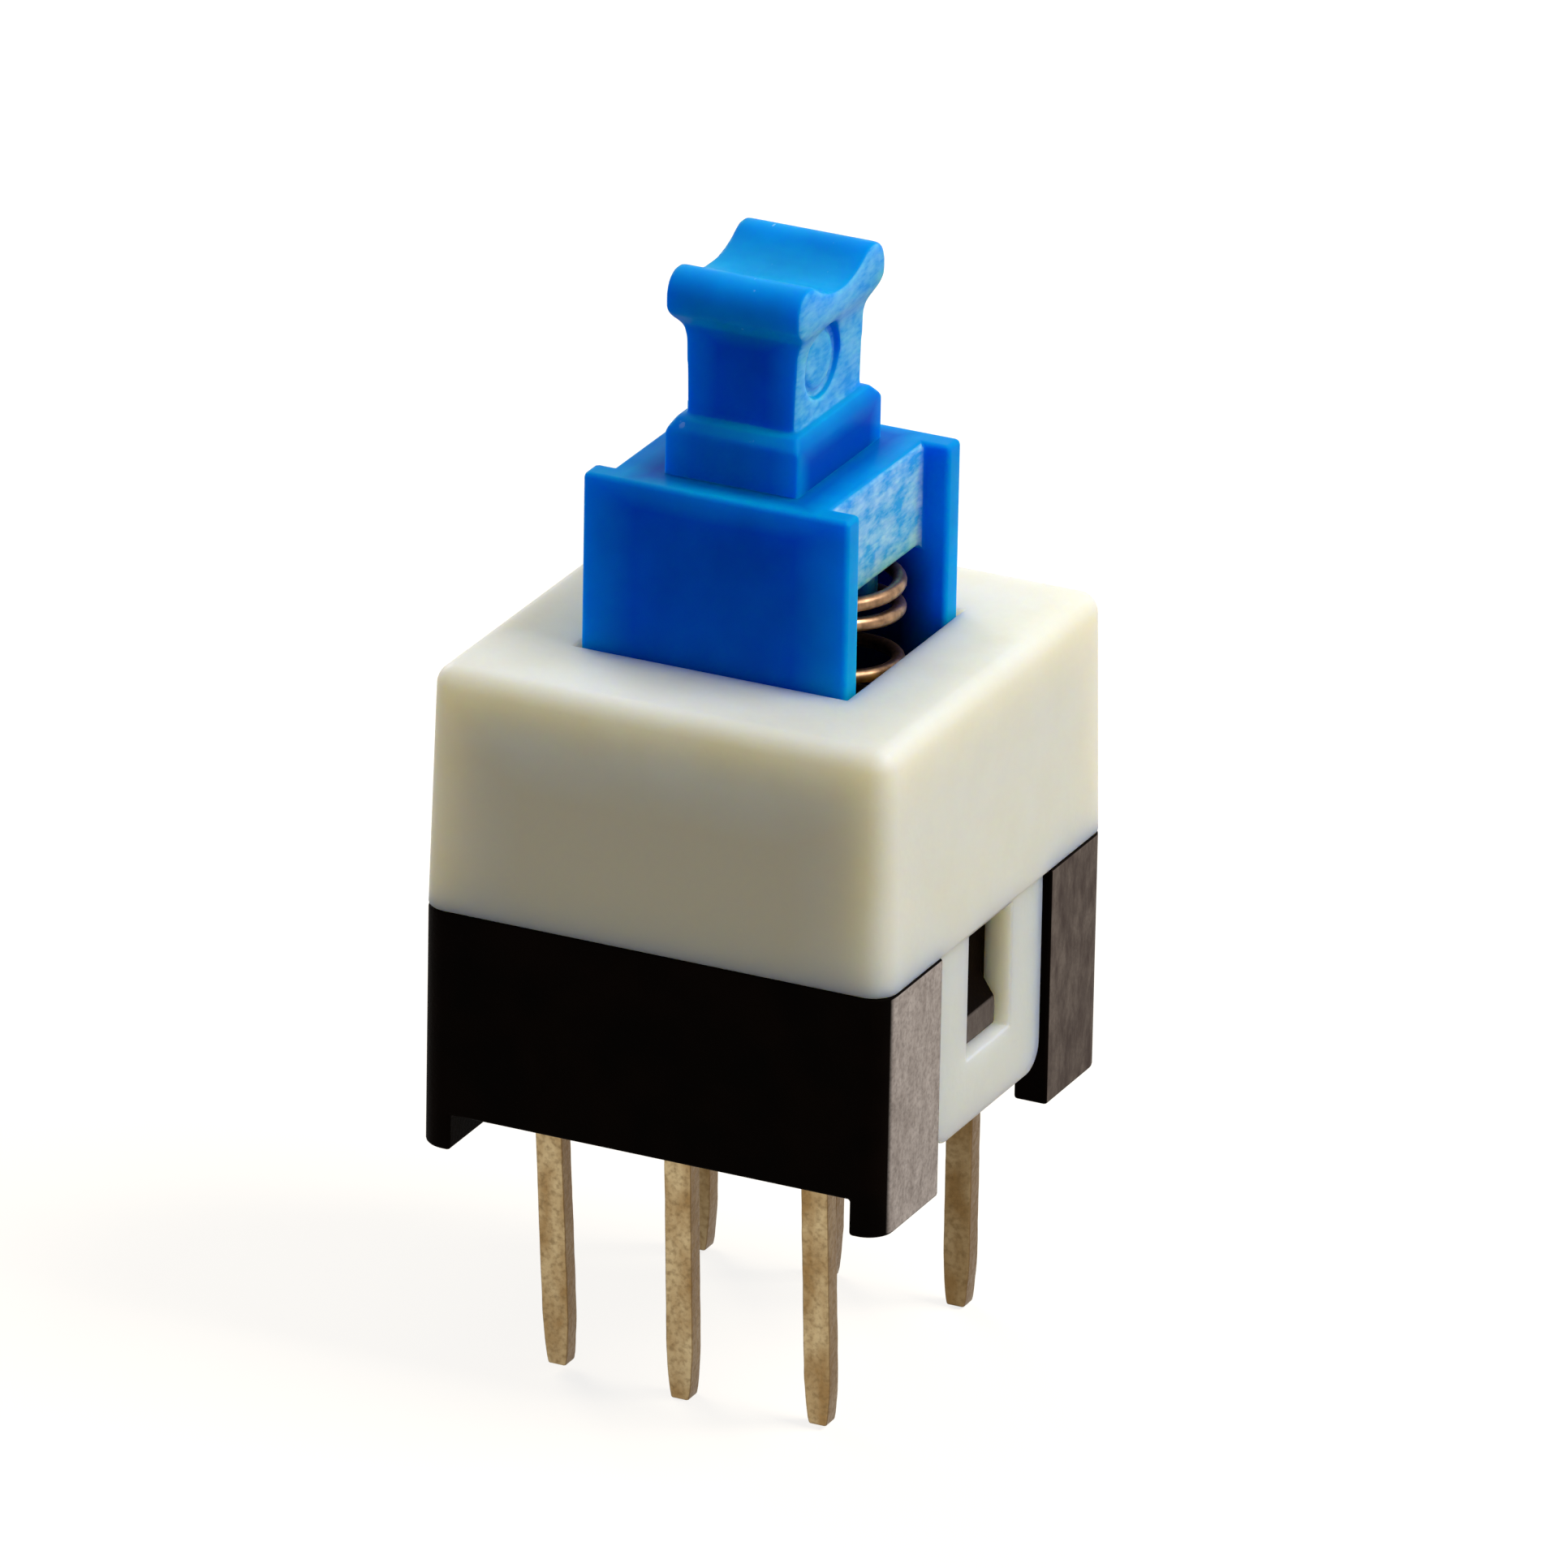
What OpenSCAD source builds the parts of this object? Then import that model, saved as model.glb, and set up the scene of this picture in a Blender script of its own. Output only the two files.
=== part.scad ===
// Latching push button switch for a circuit board: two poles, two ways, six pins.
// The origin is the middle of the footprint on the plane of the feet, with +Z up.
// The pins hang below Z = 0. Sizes are in millimetres, angles in degrees.
// The button stands out, with the latch released.

/* [Body] */
// Width of the body along X, the sides with the snap tabs
body_x = 7; // [6.8:0.1:8.5]
// Width of the body along Y, across the two rows of pins
body_y = 7; // [6.9:0.1:8.5]
// Height of the top of the housing above the feet
body_top = 7; // [6.9:0.1:8.5]
// Height of the parting line between base and housing
parting_z = 3.5; // [3.3:0.1:4.2]
// Radius of the upright corners
corner_r = 0.38; // [0.2:0.02:0.6]

/* [Housing] */
// Thickness of the side walls
wall_t = 0.6; // [0.45:0.05:0.65]
// Thickness of the roof
roof_t = 0.7; // [0.5:0.05:0.9]
// Lean of each side wall from the parting line to the top
draft = 0.08; // [0.02:0.02:0.14]
// Radius of the edge round the roof
rim_r = 0.3; // [0.1:0.05:0.35]
// Thickness of the snap tabs
tab_t = 0.42; // [0.3:0.02:0.46]
// How far the tabs lie behind the outer faces
tab_recess = 0.1; // [0.06:0.02:0.16]
// Height of the lower edge of the tabs
tab_low_z = 0.6; // [0.3:0.1:0.9]
// Radius of the lower corners of the tabs
tab_corner_r = 0.4; // [0.1:0.05:0.6]
// Width of the window in each tab
window_w = 1.36; // [1:0.02:1.8]
// Height of the lower edge of the window
window_low_z = 1.57; // [1.4:0.01:1.8]
// Height of the upper edge of the window
window_high_z = 3.4; // [3:0.1:3.5]

/* [Base] */
// Height of the underside of the floor above the feet
standoff = 0.52; // [0.3:0.02:0.7]
// Thickness of the floor
floor_t = 0.78; // [0.6:0.02:0.9]
// Thickness of the feet along X
foot_t = 0.5; // [0.4:0.05:0.6]
// Length of the feet along Y
foot_len = 1.78; // [1.5:0.02:1.9]
// Thickness of the side walls behind the snap tabs
side_wall_t = 0.5; // [0.4:0.05:0.6]
// How far the snap wedges stand out of the side walls
wedge_out = 0.25; // [0.15:0.05:0.35]
// Height of the upright face of the snap wedges
wedge_face_h = 0.4; // [0.3:0.05:0.5]
// Height of the ramp of the snap wedges
wedge_ramp_h = 0.38; // [0.3:0.02:0.6]
// Gap between the sides of the snap wedges and the window
wedge_gap = 0.06; // [0.03:0.01:0.1]

/* [Button] */
// Width of the button block along X
block_x = 3.96; // [3.9:0.02:4.1]
// Width of the button block along Y
block_y = 3.55; // [3.45:0.05:3.6]
// How far the shoulder of the block stands above the roof
block_out = 2.5; // [2.3:0.1:3]
// Thickness of the front and rear plates of the block
plate_t = 0.4; // [0.3:0.02:0.44]
// Recess of the core between the plates on the spring side
core_in_spring_side = 0.4; // [0.3:0.02:0.5]
// Recess of the core between the plates on the latch side
core_in_latch_side = 0.28; // [0.24:0.02:0.34]
// Full travel of the button
travel = 2.3; // [2:0.1:2.5]
// Travel at which the button locks
lock_travel = 1.5; // [1.2:0.1:1.7]

/* [Button head] */
// Width of the collar along X
collar_x = 2; // [1.9:0.1:2.4]
// Width of the collar along Y
collar_y = 2.6; // [2.4:0.1:3]
// Height of the collar
collar_h = 0.8; // [0.5:0.1:1]
// Width of the bevel round the collar
collar_bevel = 0.18; // [0.1:0.02:0.2]
// Width of the neck along X at its foot
neck_x = 1.6; // [1.4:0.1:1.8]
// Width of the neck along Y
neck_y = 2.06; // [1.8:0.02:2.2]
// Length of the neck from the collar to the head
neck_h = 1.27; // [1.2:0.01:1.6]
// Width of the head along X
head_x = 2; // [1.9:0.1:2.2]
// Width of the head along Y
head_y = 2.68; // [2.5:0.02:3]
// Height of the head above the neck
head_h = 0.83; // [0.75:0.01:1]
// Radius of the two lobes of the head
lobe_r = 0.35; // [0.25:0.05:0.4]
// Depth of the saddle between the lobes
saddle_depth = 0.3; // [0.1:0.05:0.35]
// Diameter of the round dimple in the neck
dimple_d = 1.06; // [0.8:0.02:1.1]
// Depth of the round dimple
dimple_depth = 0.14; // [0.05:0.01:0.2]
// Height of the middle of the dimple above the collar
dimple_up = 0.79; // [0.65:0.01:0.85]
// Distance of the dimple from the middle along Y
dimple_y = -0.2; // [-0.3:0.05:0.3]
// How much wider each side of the neck is at the head than at the collar
neck_flare = 0.04; // [0:0.01:0.08]

/* [Terminals] */
// Distance between neighbouring pins
pitch = 2; // [1.9:0.05:2.1]
// Distance between the two rows of pins
row_spacing = 4.5; // [4.4:0.1:4.8]
// Width of a pin
pin_w = 0.4; // [0.36:0.01:0.5]
// Thickness of the terminal strip
pin_t = 0.3; // [0.24:0.01:0.32]
// Length of the pins below the feet
pin_len = 3.5; // [2.5:0.1:5]
// Length of the tapered end of a pin
pin_taper = 0.7; // [0.4:0.05:0.9]
// Width of the blunt tip of a pin
pin_tip_w = 0.2; // [0.14:0.01:0.26]
// Width of the middle terminal's contact face
middle_face_w = 1; // [0.8:0.05:1.2]
// Gap between the middle of the switch and the outer contact faces
outer_face_x = 1; // [0.9:0.05:1.05]
// Travel between the left contact's end and the right contact's start
contact_step = 0.35; // [0.2:0.05:0.5]
// Height of the upstands above the moving contacts
upstand_over = 0.4; // [0.2:0.05:0.6]

/* [Moving contacts] */
// Thickness of the spring strip
strip_t = 0.1; // [0.08:0.01:0.12]
// Height of the strip
strip_h = 1; // [0.8:0.05:1.1]
// Length of the strip along X
strip_x = 3.2; // [3.1:0.05:3.4]
// Width of each contact finger
finger_w = 0.4; // [0.3:0.05:0.5]
// Distance between neighbouring fingers
finger_pitch = 1.3; // [1.25:0.05:1.4]

/* [Return spring] */
// Diameter of the spring wire
spring_wire_d = 0.2; // [0.16:0.01:0.22]
// Outer diameter of the spring
spring_d = 2.5; // [2.3:0.02:2.6]
// Number of turns, closed ends included
spring_turns = 10; // [8:1:12]
// Closed turns at each end
spring_end_turns = 1; // [0.75:0.25:1.25]
// Distance of the spring axis from the middle of the switch along X
spring_x = 0.66; // [0.6:0.02:0.7]
// Height of the spring's upper seat above the roof
spring_seat_out = 1; // [0.8:0.1:1.2]
// Height of the boss on the floor inside the spring
spring_boss_h = 0.7; // [0.5:0.05:0.9]
// Length of the stub in the button inside the spring
spring_stub_h = 0.4; // [0.3:0.05:0.5]

/* [Latch] */
// Diameter of the latch wire
latch_d = 0.3; // [0.24:0.01:0.32]
// Inner radius of the bends in the latch wire
latch_bend_r = 0.1; // [0.08:0.01:0.14]
// Height of the latch pivot above the floor
pivot_above_floor = 0.6; // [0.5:0.05:0.7]
// Height of the start of the latch track above the underside of the button
track_start = 0.7; // [0.6:0.05:0.8]
// Depth of the latch track
track_depth = 0.4; // [0.35:0.01:0.42]
// Step down from each stretch of the track to the next
track_step = 0.05; // [0.02:0.01:0.06]
// Swing of the latch pin over the full travel
latch_swing = 13.3; // [11:0.1:14.5]

/* [Clearances] */
// Gap round the button in the roof
button_gap = 0.06; // [0.03:0.01:0.1]
// Gap between the housing and what it slides over
fit_gap = 0.05; // [0.02:0.01:0.08]
// Gap between the lips of the button and the roof that stops them
stop_gap = 0.02; // [0.01:0.01:0.05]
// Gap between the button and the floor at full travel
bottom_gap = 0.2; // [0.1:0.05:0.3]
// Gap between the lips of the button and the contact faces
lip_gap = 0.125; // [0.1:0.005:0.15]
// Gap between the contact fingers and the contact faces
finger_gap = 0.02; // [0.01:0.005:0.03]
// Gap round each terminal in the base
slot_gap = 0.01; // [0.005:0.005:0.02]
// Gap round the latch wire in its pivot hole
pivot_gap = 0.03; // [0.02:0.005:0.05]
// Gap on each side of the latch wire in its track
track_gap = 0.05; // [0.03:0.01:0.08]
// Gap between the latch wire and the core of the button
core_gap = 0.1; // [0.06:0.01:0.12]

/* [Hidden] */
$fn = 48;

FRONT = -1;
REAR = 1;
LEFT = -1;
CENTER = 0;
RIGHT = 1;

hull_fn = 32;       // facets of the round edges that are blended with hull()
cut = 0.1;          // how far a cut runs past the face that it opens

// Heights, from the board upwards
floor_top = standoff + floor_t;
pivot_z = floor_top + pivot_above_floor;
button_bottom = floor_top + travel + bottom_gap;
finger_z = button_bottom + strip_h / 2;
upstand_top = finger_z + strip_h / 2 + upstand_over;
roof_under = body_top - roof_t;
lip_top = roof_under - stop_gap;
spring_seat_z = body_top + spring_seat_out;
shoulder_z = body_top + block_out;
collar_top = shoulder_z + collar_h;
neck_top = collar_top + neck_h;
head_top = neck_top + head_h;

// Places along X
tab_out_x = body_x / 2 - tab_recess;
tab_in_x = tab_out_x - tab_t;
side_out_x = tab_in_x - fit_gap / 2;
side_in_x = side_out_x - side_wall_t;
core_spring_x = block_x / 2 - core_in_spring_side;
core_latch_x = -(block_x / 2 - core_in_latch_side);
shank_x = core_latch_x - core_gap - latch_d / 2;

// Places along Y
face_y = row_spacing / 2 - pin_t / 2;       // contact faces of the terminals
plate_in_y = block_y / 2 - plate_t;
lip_y = face_y - lip_gap;
foot_in_y = body_y / 2 - foot_len;
strip_in_y = face_y - finger_gap - 3 * strip_t;

// Contact faces: the left one is high, and the right one is low
left_face_low = finger_z - lock_travel / 2;
right_face_high = left_face_low - contact_step;

// Latch pin and its track
bend_r = latch_bend_r + latch_d / 2;
tip_z = button_bottom + track_start;
shank_len = tip_z - pivot_z;
track_w = latch_d + 2 * track_gap;
pivot_depth = side_wall_t * 0.7;
tip_out_y = shank_len * sin(latch_swing);
tip_drop = shank_len * (1 - cos(latch_swing));

module rounded_plan(x, y, r) {
    square([x - 2 * r, y], center = true);
    square([x, y - 2 * r], center = true);
    for (sx = [-1, 1], sy = [-1, 1])
        translate([sx * (x / 2 - r), sy * (y / 2 - r)]) circle(r);
}

// A box given by its lowest and its highest corner
module block(low, high) {
    translate(low) cube(high - low);
}

// Extrudes a profile drawn as (Y, Z) over the width w along X
module along_x(w) {
    translate([-w / 2, 0, 0]) rotate([90, 0, 90]) linear_extrude(w) children();
}

// Extrudes a profile drawn as (X, Z) over the width w along Y
module along_y(w) {
    translate([0, w / 2, 0]) rotate([90, 0, 0]) linear_extrude(w) children();
}

// ---- Housing ----------------------------------------------------------------

// The outer skin: upright rounded corners that lean in to a rounded rim
module housing_skin() {
    top_x = body_x / 2 - draft - rim_r;
    top_y = body_y / 2 - draft - rim_r;
    hull() {
        for (sx = [-1, 1], sy = [-1, 1]) {
            translate([sx * (body_x / 2 - corner_r), sy * (body_y / 2 - corner_r), parting_z])
                cylinder(r = corner_r, h = draft, $fn = hull_fn);
            translate([sx * top_x, sy * top_y, body_top - rim_r])
                sphere(r = rim_r, $fn = hull_fn);
        }
    }
}

// One snap tab, drawn on the +X side: a plate with rounded lower corners and a window
module snap_tab() {
    half_w = foot_in_y - fit_gap;
    translate([tab_in_x, 0, 0]) rotate([90, 0, 90]) linear_extrude(tab_t) difference() {
        union() {
            translate([-half_w, tab_low_z + tab_corner_r])
                square([2 * half_w, parting_z + cut - tab_low_z - tab_corner_r]);
            translate([-half_w + tab_corner_r, tab_low_z])
                square([2 * (half_w - tab_corner_r), tab_corner_r + cut]);
            for (side = [-1, 1])
                translate([side * (half_w - tab_corner_r), tab_low_z + tab_corner_r])
                    circle(tab_corner_r);
        }
        translate([-window_w / 2, window_low_z])
            square([window_w, window_high_z - window_low_z]);
    }
}

module housing() {
    color("#d9d6cc") {
        difference() {
            housing_skin();
            block([-body_x / 2 + wall_t, -body_y / 2 + wall_t, parting_z - cut],
                  [body_x / 2 - wall_t, body_y / 2 - wall_t, roof_under]);
            block([-block_x / 2 - button_gap, -block_y / 2 - button_gap, roof_under - cut],
                  [block_x / 2 + button_gap, block_y / 2 + button_gap, body_top + cut]);
        }
        snap_tab();
        mirror([1, 0, 0]) snap_tab();
    }
}

// ---- Base -------------------------------------------------------------------

// Outline of the base, with a bay on each side for a snap tab
module base_plan() {
    difference() {
        rounded_plan(body_x, body_y, corner_r);
        for (side = [-1, 1])
            translate([side * (side_out_x + body_x / 2), 0])
                square([body_x, 2 * foot_in_y], center = true);
    }
}

module feet() {
    intersection() {
        linear_extrude(standoff + cut) rounded_plan(body_x, body_y, corner_r);
        for (sx = [-1, 1], sy = [-1, 1])
            translate([sx * (body_x - foot_t) / 2, sy * (body_y - foot_len) / 2, 0])
                cube([foot_t, foot_len, 2 * (standoff + cut)], center = true);
    }
}

// The wall that stands up inside the housing and carries one row of terminals
module upstand() {
    out_x = body_x / 2 - wall_t - fit_gap;
    out_y = body_y / 2 - wall_t - fit_gap;
    block([-out_x, face_y, parting_z - cut], [out_x, out_y, upstand_top]);
}

// Snap wedge on the +X side: it ramps out downwards and ends in a flat ledge
module snap_wedge() {
    ledge_z = window_low_z + fit_gap / 2;
    ramp_z = ledge_z + wedge_face_h;
    along_y(window_w - 2 * wedge_gap) polygon([
        [side_out_x - cut, ledge_z],
        [side_out_x + wedge_out, ledge_z],
        [side_out_x + wedge_out, ramp_z],
        [side_out_x, ramp_z + wedge_ramp_h],
        [side_out_x - cut, ramp_z + wedge_ramp_h]
    ]);
}

// Round boss on the floor that keeps the return spring in its place
module spring_boss() {
    translate([spring_x, 0, floor_top - cut])
        cylinder(r = spring_d / 2 - spring_wire_d - cut, h = spring_boss_h + cut);
}

module pivot_hole() {
    translate([-side_in_x - pivot_depth, 0, pivot_z]) rotate([0, 90, 0])
        cylinder(r = latch_d / 2 + pivot_gap, h = pivot_depth + cut);
}

module base() {
    color("#1d1c1e") difference() {
        union() {
            difference() {
                translate([0, 0, standoff]) linear_extrude(parting_z - standoff) base_plan();
                block([-side_in_x, -face_y, floor_top], [side_in_x, face_y, parting_z + cut]);
            }
            feet();
            upstand();
            mirror([0, 1, 0]) upstand();
            snap_wedge();
            mirror([1, 0, 0]) snap_wedge();
            spring_boss();
        }
        for (row = [FRONT, REAR], place = [LEFT, CENTER, RIGHT])
            terminal_solid(row, place, slot_gap);
        pivot_hole();
    }
}

// ---- Terminals --------------------------------------------------------------

// The straight pin with its tapered end, from the tip to the height top
module pin_profile(top, grow) {
    w = pin_w / 2 + grow;
    tip = pin_tip_w / 2 + grow;
    waist = (2 * w + tip) / 3;
    polygon([[-tip, -pin_len], [tip, -pin_len], [waist, -pin_len + pin_taper / 3],
             [w, -pin_len + pin_taper], [w, top], [-w, top],
             [-w, -pin_len + pin_taper], [-waist, -pin_len + pin_taper / 3]]);
}

// The blank of one terminal around its pin axis, drawn as (X, Z) and widened by grow
module terminal_profile(place, grow) {
    reach = pitch - outer_face_x;
    low = place == LEFT ? left_face_low : floor_top;
    high = place == RIGHT ? right_face_high : upstand_top;
    from = place == CENTER ? -middle_face_w / 2 : place == LEFT ? -pin_w / 2 : -reach;
    to = place == CENTER ? middle_face_w / 2 : place == LEFT ? reach : pin_w / 2;
    pin_profile(high, grow);
    translate([from - grow, low - (place == LEFT ? grow : 0)])
        square([to - from + 2 * grow, high - low + (place == LEFT ? grow : 0) + grow]);
}

// One terminal; with grow above zero it is the slot for it in the base
module terminal_solid(row, place, grow) {
    translate([place * pitch, row * row_spacing / 2, 0])
        along_y(pin_t + 2 * grow) terminal_profile(place, grow);
}

module terminal(row, place) {
    color("#b3a078") terminal_solid(row, place, 0);
}

// ---- Button -----------------------------------------------------------------

// Front view of the stalk: collar, neck and head with two lobes and a saddle, as (Y, Z)
module stalk_side_profile() {
    lobe_y = head_y / 2 - lobe_r;
    lobe_z = head_top - lobe_r;
    saddle_r = (lobe_y * lobe_y + saddle_depth * saddle_depth) / (2 * saddle_depth);
    translate([-collar_y / 2, shoulder_z - cut])
        square([collar_y, collar_h - collar_bevel + cut]);
    polygon([[-collar_y / 2, collar_top - collar_bevel], [collar_y / 2, collar_top - collar_bevel],
             [collar_y / 2 - collar_bevel, collar_top], [-collar_y / 2 + collar_bevel, collar_top]]);
    translate([-neck_y / 2, collar_top - cut]) square([neck_y, neck_h + 2 * cut]);
    for (side = [-1, 1]) translate([side * lobe_y, lobe_z]) circle(lobe_r);
    difference() {
        polygon([[-neck_y / 2, neck_top], [neck_y / 2, neck_top],
                 [head_y / 2, neck_top + head_h / 3], [head_y / 2, lobe_z],
                 [lobe_y, head_top], [-lobe_y, head_top],
                 [-head_y / 2, lobe_z], [-head_y / 2, neck_top + head_h / 3]]);
        translate([0, head_top - saddle_depth + saddle_r]) circle(saddle_r, $fn = 96);
    }
}

// Side view of the stalk, as (X, Z): the neck widens a little into the head
module stalk_front_profile() {
    polygon([for (side = [1, -1], i = [0:6])
        let (k = side == 1 ? i : 6 - i,
             point = [[collar_x / 2, shoulder_z - cut],
                      [collar_x / 2, collar_top - collar_bevel],
                      [neck_x / 2 + (collar_x - neck_x) / 8, collar_top],
                      [neck_x / 2, collar_top],
                      [neck_x / 2 + neck_flare, neck_top - head_h / 8],
                      [head_x / 2, neck_top + head_h / 4],
                      [head_x / 2, head_top + cut]][k])
        [side * point[0], point[1]]]);
}

module stalk() {
    intersection() {
        along_x(collar_x + head_x) stalk_side_profile();
        along_y(collar_y + head_y) stalk_front_profile();
    }
}

// A straight stretch of the latch track between two points given as (Y, Z)
module track(from, to, depth) {
    run = to - from;
    translate([core_latch_x - cut, 0, 0]) rotate([90, 0, 90]) linear_extrude(depth + cut) {
        translate(from) circle(d = track_w);
        translate(to) circle(d = track_w);
        translate(from) rotate(atan2(run[1], run[0]))
            translate([0, -track_w / 2]) square([norm(run), track_w]);
    }
}

// The heart-shaped loop that the tip of the latch pin runs round
module latch_track() {
    start = [0, tip_z];
    pressed = [-tip_out_y, tip_z + travel - tip_drop];
    locked = [0, tip_z + lock_travel];
    released = [0.8 * tip_out_y, tip_z + travel - tip_drop];
    back = [0.9 * tip_out_y, tip_z + lock_travel * 0.6];
    track(start, pressed, track_depth);
    track(pressed, locked, track_depth + track_step);
    track(locked, released, track_depth + 2 * track_step);
    track(released, back, track_depth + track_step);
    track(back, start, track_depth);
}

// The space for the return spring: round on the latch side and open on the spring side
module spring_pocket() {
    low = button_bottom - cut;
    translate([spring_x, 0, low]) cylinder(r = plate_in_y, h = spring_seat_z - low);
    block([spring_x, -plate_in_y, low], [block_x / 2 + cut, plate_in_y, spring_seat_z]);
}

// The pocket in one lip for a moving contact
module contact_pocket() {
    half_x = strip_x / 2 + slot_gap;
    half_z = strip_h / 2 + slot_gap;
    block([-half_x, strip_in_y, finger_z - half_z], [half_x, lip_y + cut, finger_z + half_z]);
}

module plunger() {
    color("#0a66cf") {
        difference() {
            union() {
                block([-block_x / 2, -block_y / 2, button_bottom],
                      [block_x / 2, block_y / 2, shoulder_z]);
                block([-block_x / 2, -lip_y, button_bottom], [block_x / 2, lip_y, lip_top]);
                stalk();
            }
            spring_pocket();
            block([core_spring_x, -plate_in_y, spring_seat_z - cut],
                  [block_x / 2 + cut, plate_in_y, shoulder_z + cut]);
            block([-block_x / 2 - cut, -plate_in_y, button_bottom - cut],
                  [core_latch_x, plate_in_y, shoulder_z + cut]);
            latch_track();
            contact_pocket();
            mirror([0, 1, 0]) contact_pocket();
            translate([neck_x / 2 + neck_flare - dimple_depth, dimple_y, collar_top + dimple_up])
                rotate([0, 90, 0]) cylinder(d = dimple_d, h = head_x);
        }
        translate([spring_x, 0, spring_seat_z - spring_stub_h])
            cylinder(r = spring_d / 2 - spring_wire_d - 2 * cut, h = spring_stub_h + cut);
    }
}

// ---- Moving contacts --------------------------------------------------------

// The rear contact: a strip in the pocket of the lip with three bowed fingers
module moving_contact() {
    strip_out = strip_in_y + strip_t;
    rise = face_y - finger_gap - strip_out;
    half_h = strip_h * 0.42;
    bow_r = (half_h * half_h + rise * rise) / (2 * rise);
    block([-strip_x / 2, strip_in_y, finger_z - strip_h / 2],
          [strip_x / 2, strip_out, finger_z + strip_h / 2]);
    for (i = [-1:1]) intersection() {
        translate([i * finger_pitch - finger_w / 2, face_y - finger_gap - bow_r, finger_z])
            rotate([0, 90, 0]) difference() {
                cylinder(r = bow_r, h = finger_w, $fn = 96);
                translate([0, 0, -cut])
                    cylinder(r = bow_r - strip_t, h = finger_w + 2 * cut, $fn = 96);
            }
        block([i * finger_pitch - finger_w, strip_in_y + strip_t / 2, finger_z - strip_h / 2],
              [i * finger_pitch + finger_w, face_y, finger_z + strip_h / 2]);
    }
}

module moving_contact_rear() {
    color("#c9b27a") moving_contact();
}

module moving_contact_front() {
    color("#c9b27a") mirror([0, 1, 0]) moving_contact();
}

// ---- Return spring ----------------------------------------------------------

// Height of the wire's middle after t turns: closed, then evenly wound, then closed
function spring_z(t) =
    let (rise = spring_seat_z - floor_top - spring_wire_d,
         e = spring_end_turns,
         lead = (rise - 2 * e * spring_wire_d) / (spring_turns - 2 * e))
    floor_top + spring_wire_d / 2 + (
        t < e ? t * spring_wire_d :
        t > spring_turns - e ? rise - (spring_turns - t) * spring_wire_d :
        e * spring_wire_d + (t - e) * lead);

// A wire wound left-handed, whose upper end lies at the front
module return_spring() {
    steps = 20;
    sides = 8;
    rings = steps * spring_turns;
    mean_r = (spring_d - spring_wire_d) / 2;
    points = [for (i = [0:rings], k = [0:sides - 1])
        let (t = i / steps,
             turn = -90 + 360 * (spring_turns - t),
             a = 360 * k / sides,
             r = mean_r + spring_wire_d / 2 * cos(a))
        [spring_x + r * cos(turn), r * sin(turn), spring_z(t) + spring_wire_d / 2 * sin(a)]];
    side_faces = [for (i = [0:rings - 1], k = [0:sides - 1])
        let (n = (k + 1) % sides)
        [i * sides + k, (i + 1) * sides + k, (i + 1) * sides + n, i * sides + n]];
    start_face = [for (k = [0:sides - 1]) k];
    end_face = [for (k = [0:sides - 1]) rings * sides + sides - 1 - k];
    color("#a39b8c") polyhedron(points, concat(side_faces, [start_face, end_face]));
}

// ---- Latch pin --------------------------------------------------------------

// A bent wire: a lower leg in the base, a shank and an upper leg in the track
module latch_pin() {
    lower_end = -side_in_x - pivot_depth + fit_gap;
    upper_end = core_latch_x + track_depth - core_gap;
    color("#9a9a9c") {
        translate([lower_end, 0, pivot_z]) rotate([0, 90, 0])
            cylinder(d = latch_d, h = shank_x - bend_r - lower_end);
        translate([shank_x - bend_r, 0, pivot_z + bend_r]) rotate([90, 0, 0])
            rotate([0, 0, -90]) rotate_extrude(angle = 90) translate([bend_r, 0]) circle(d = latch_d);
        translate([shank_x, 0, pivot_z + bend_r]) cylinder(d = latch_d, h = shank_len - 2 * bend_r);
        translate([shank_x + bend_r, 0, tip_z - bend_r]) rotate([90, 0, 0])
            rotate([0, 0, 90]) rotate_extrude(angle = 90) translate([bend_r, 0]) circle(d = latch_d);
        translate([shank_x + bend_r, 0, tip_z]) rotate([0, 90, 0])
            cylinder(d = latch_d, h = upper_end - shank_x - bend_r);
    }
}

housing();
base();
plunger();
return_spring();
latch_pin();
moving_contact_front();
moving_contact_rear();
terminal(FRONT, LEFT);  // terminal_front_left
terminal(FRONT, CENTER);  // terminal_front_center
terminal(FRONT, RIGHT);  // terminal_front_right
terminal(REAR, LEFT);  // terminal_rear_left
terminal(REAR, CENTER);  // terminal_rear_center
terminal(REAR, RIGHT);  // terminal_rear_right
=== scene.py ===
# %% [markdown]
# # A latching push button switch
# This switch is a small moulded part that is soldered to a circuit board. A white housing
# snaps over a black base, a blue button slides in it on a coil spring, and six flat pins
# hang below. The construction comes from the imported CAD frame. All pieces but the moving
# contacts are modelled again here in millimetres, with the soft edges that a mould leaves,
# and are then scaled to metres, so that each lies where its CAD node lies.

# %% Load the frame
import math

import bmesh
import bpy
from mathutils import Matrix, Vector


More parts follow.
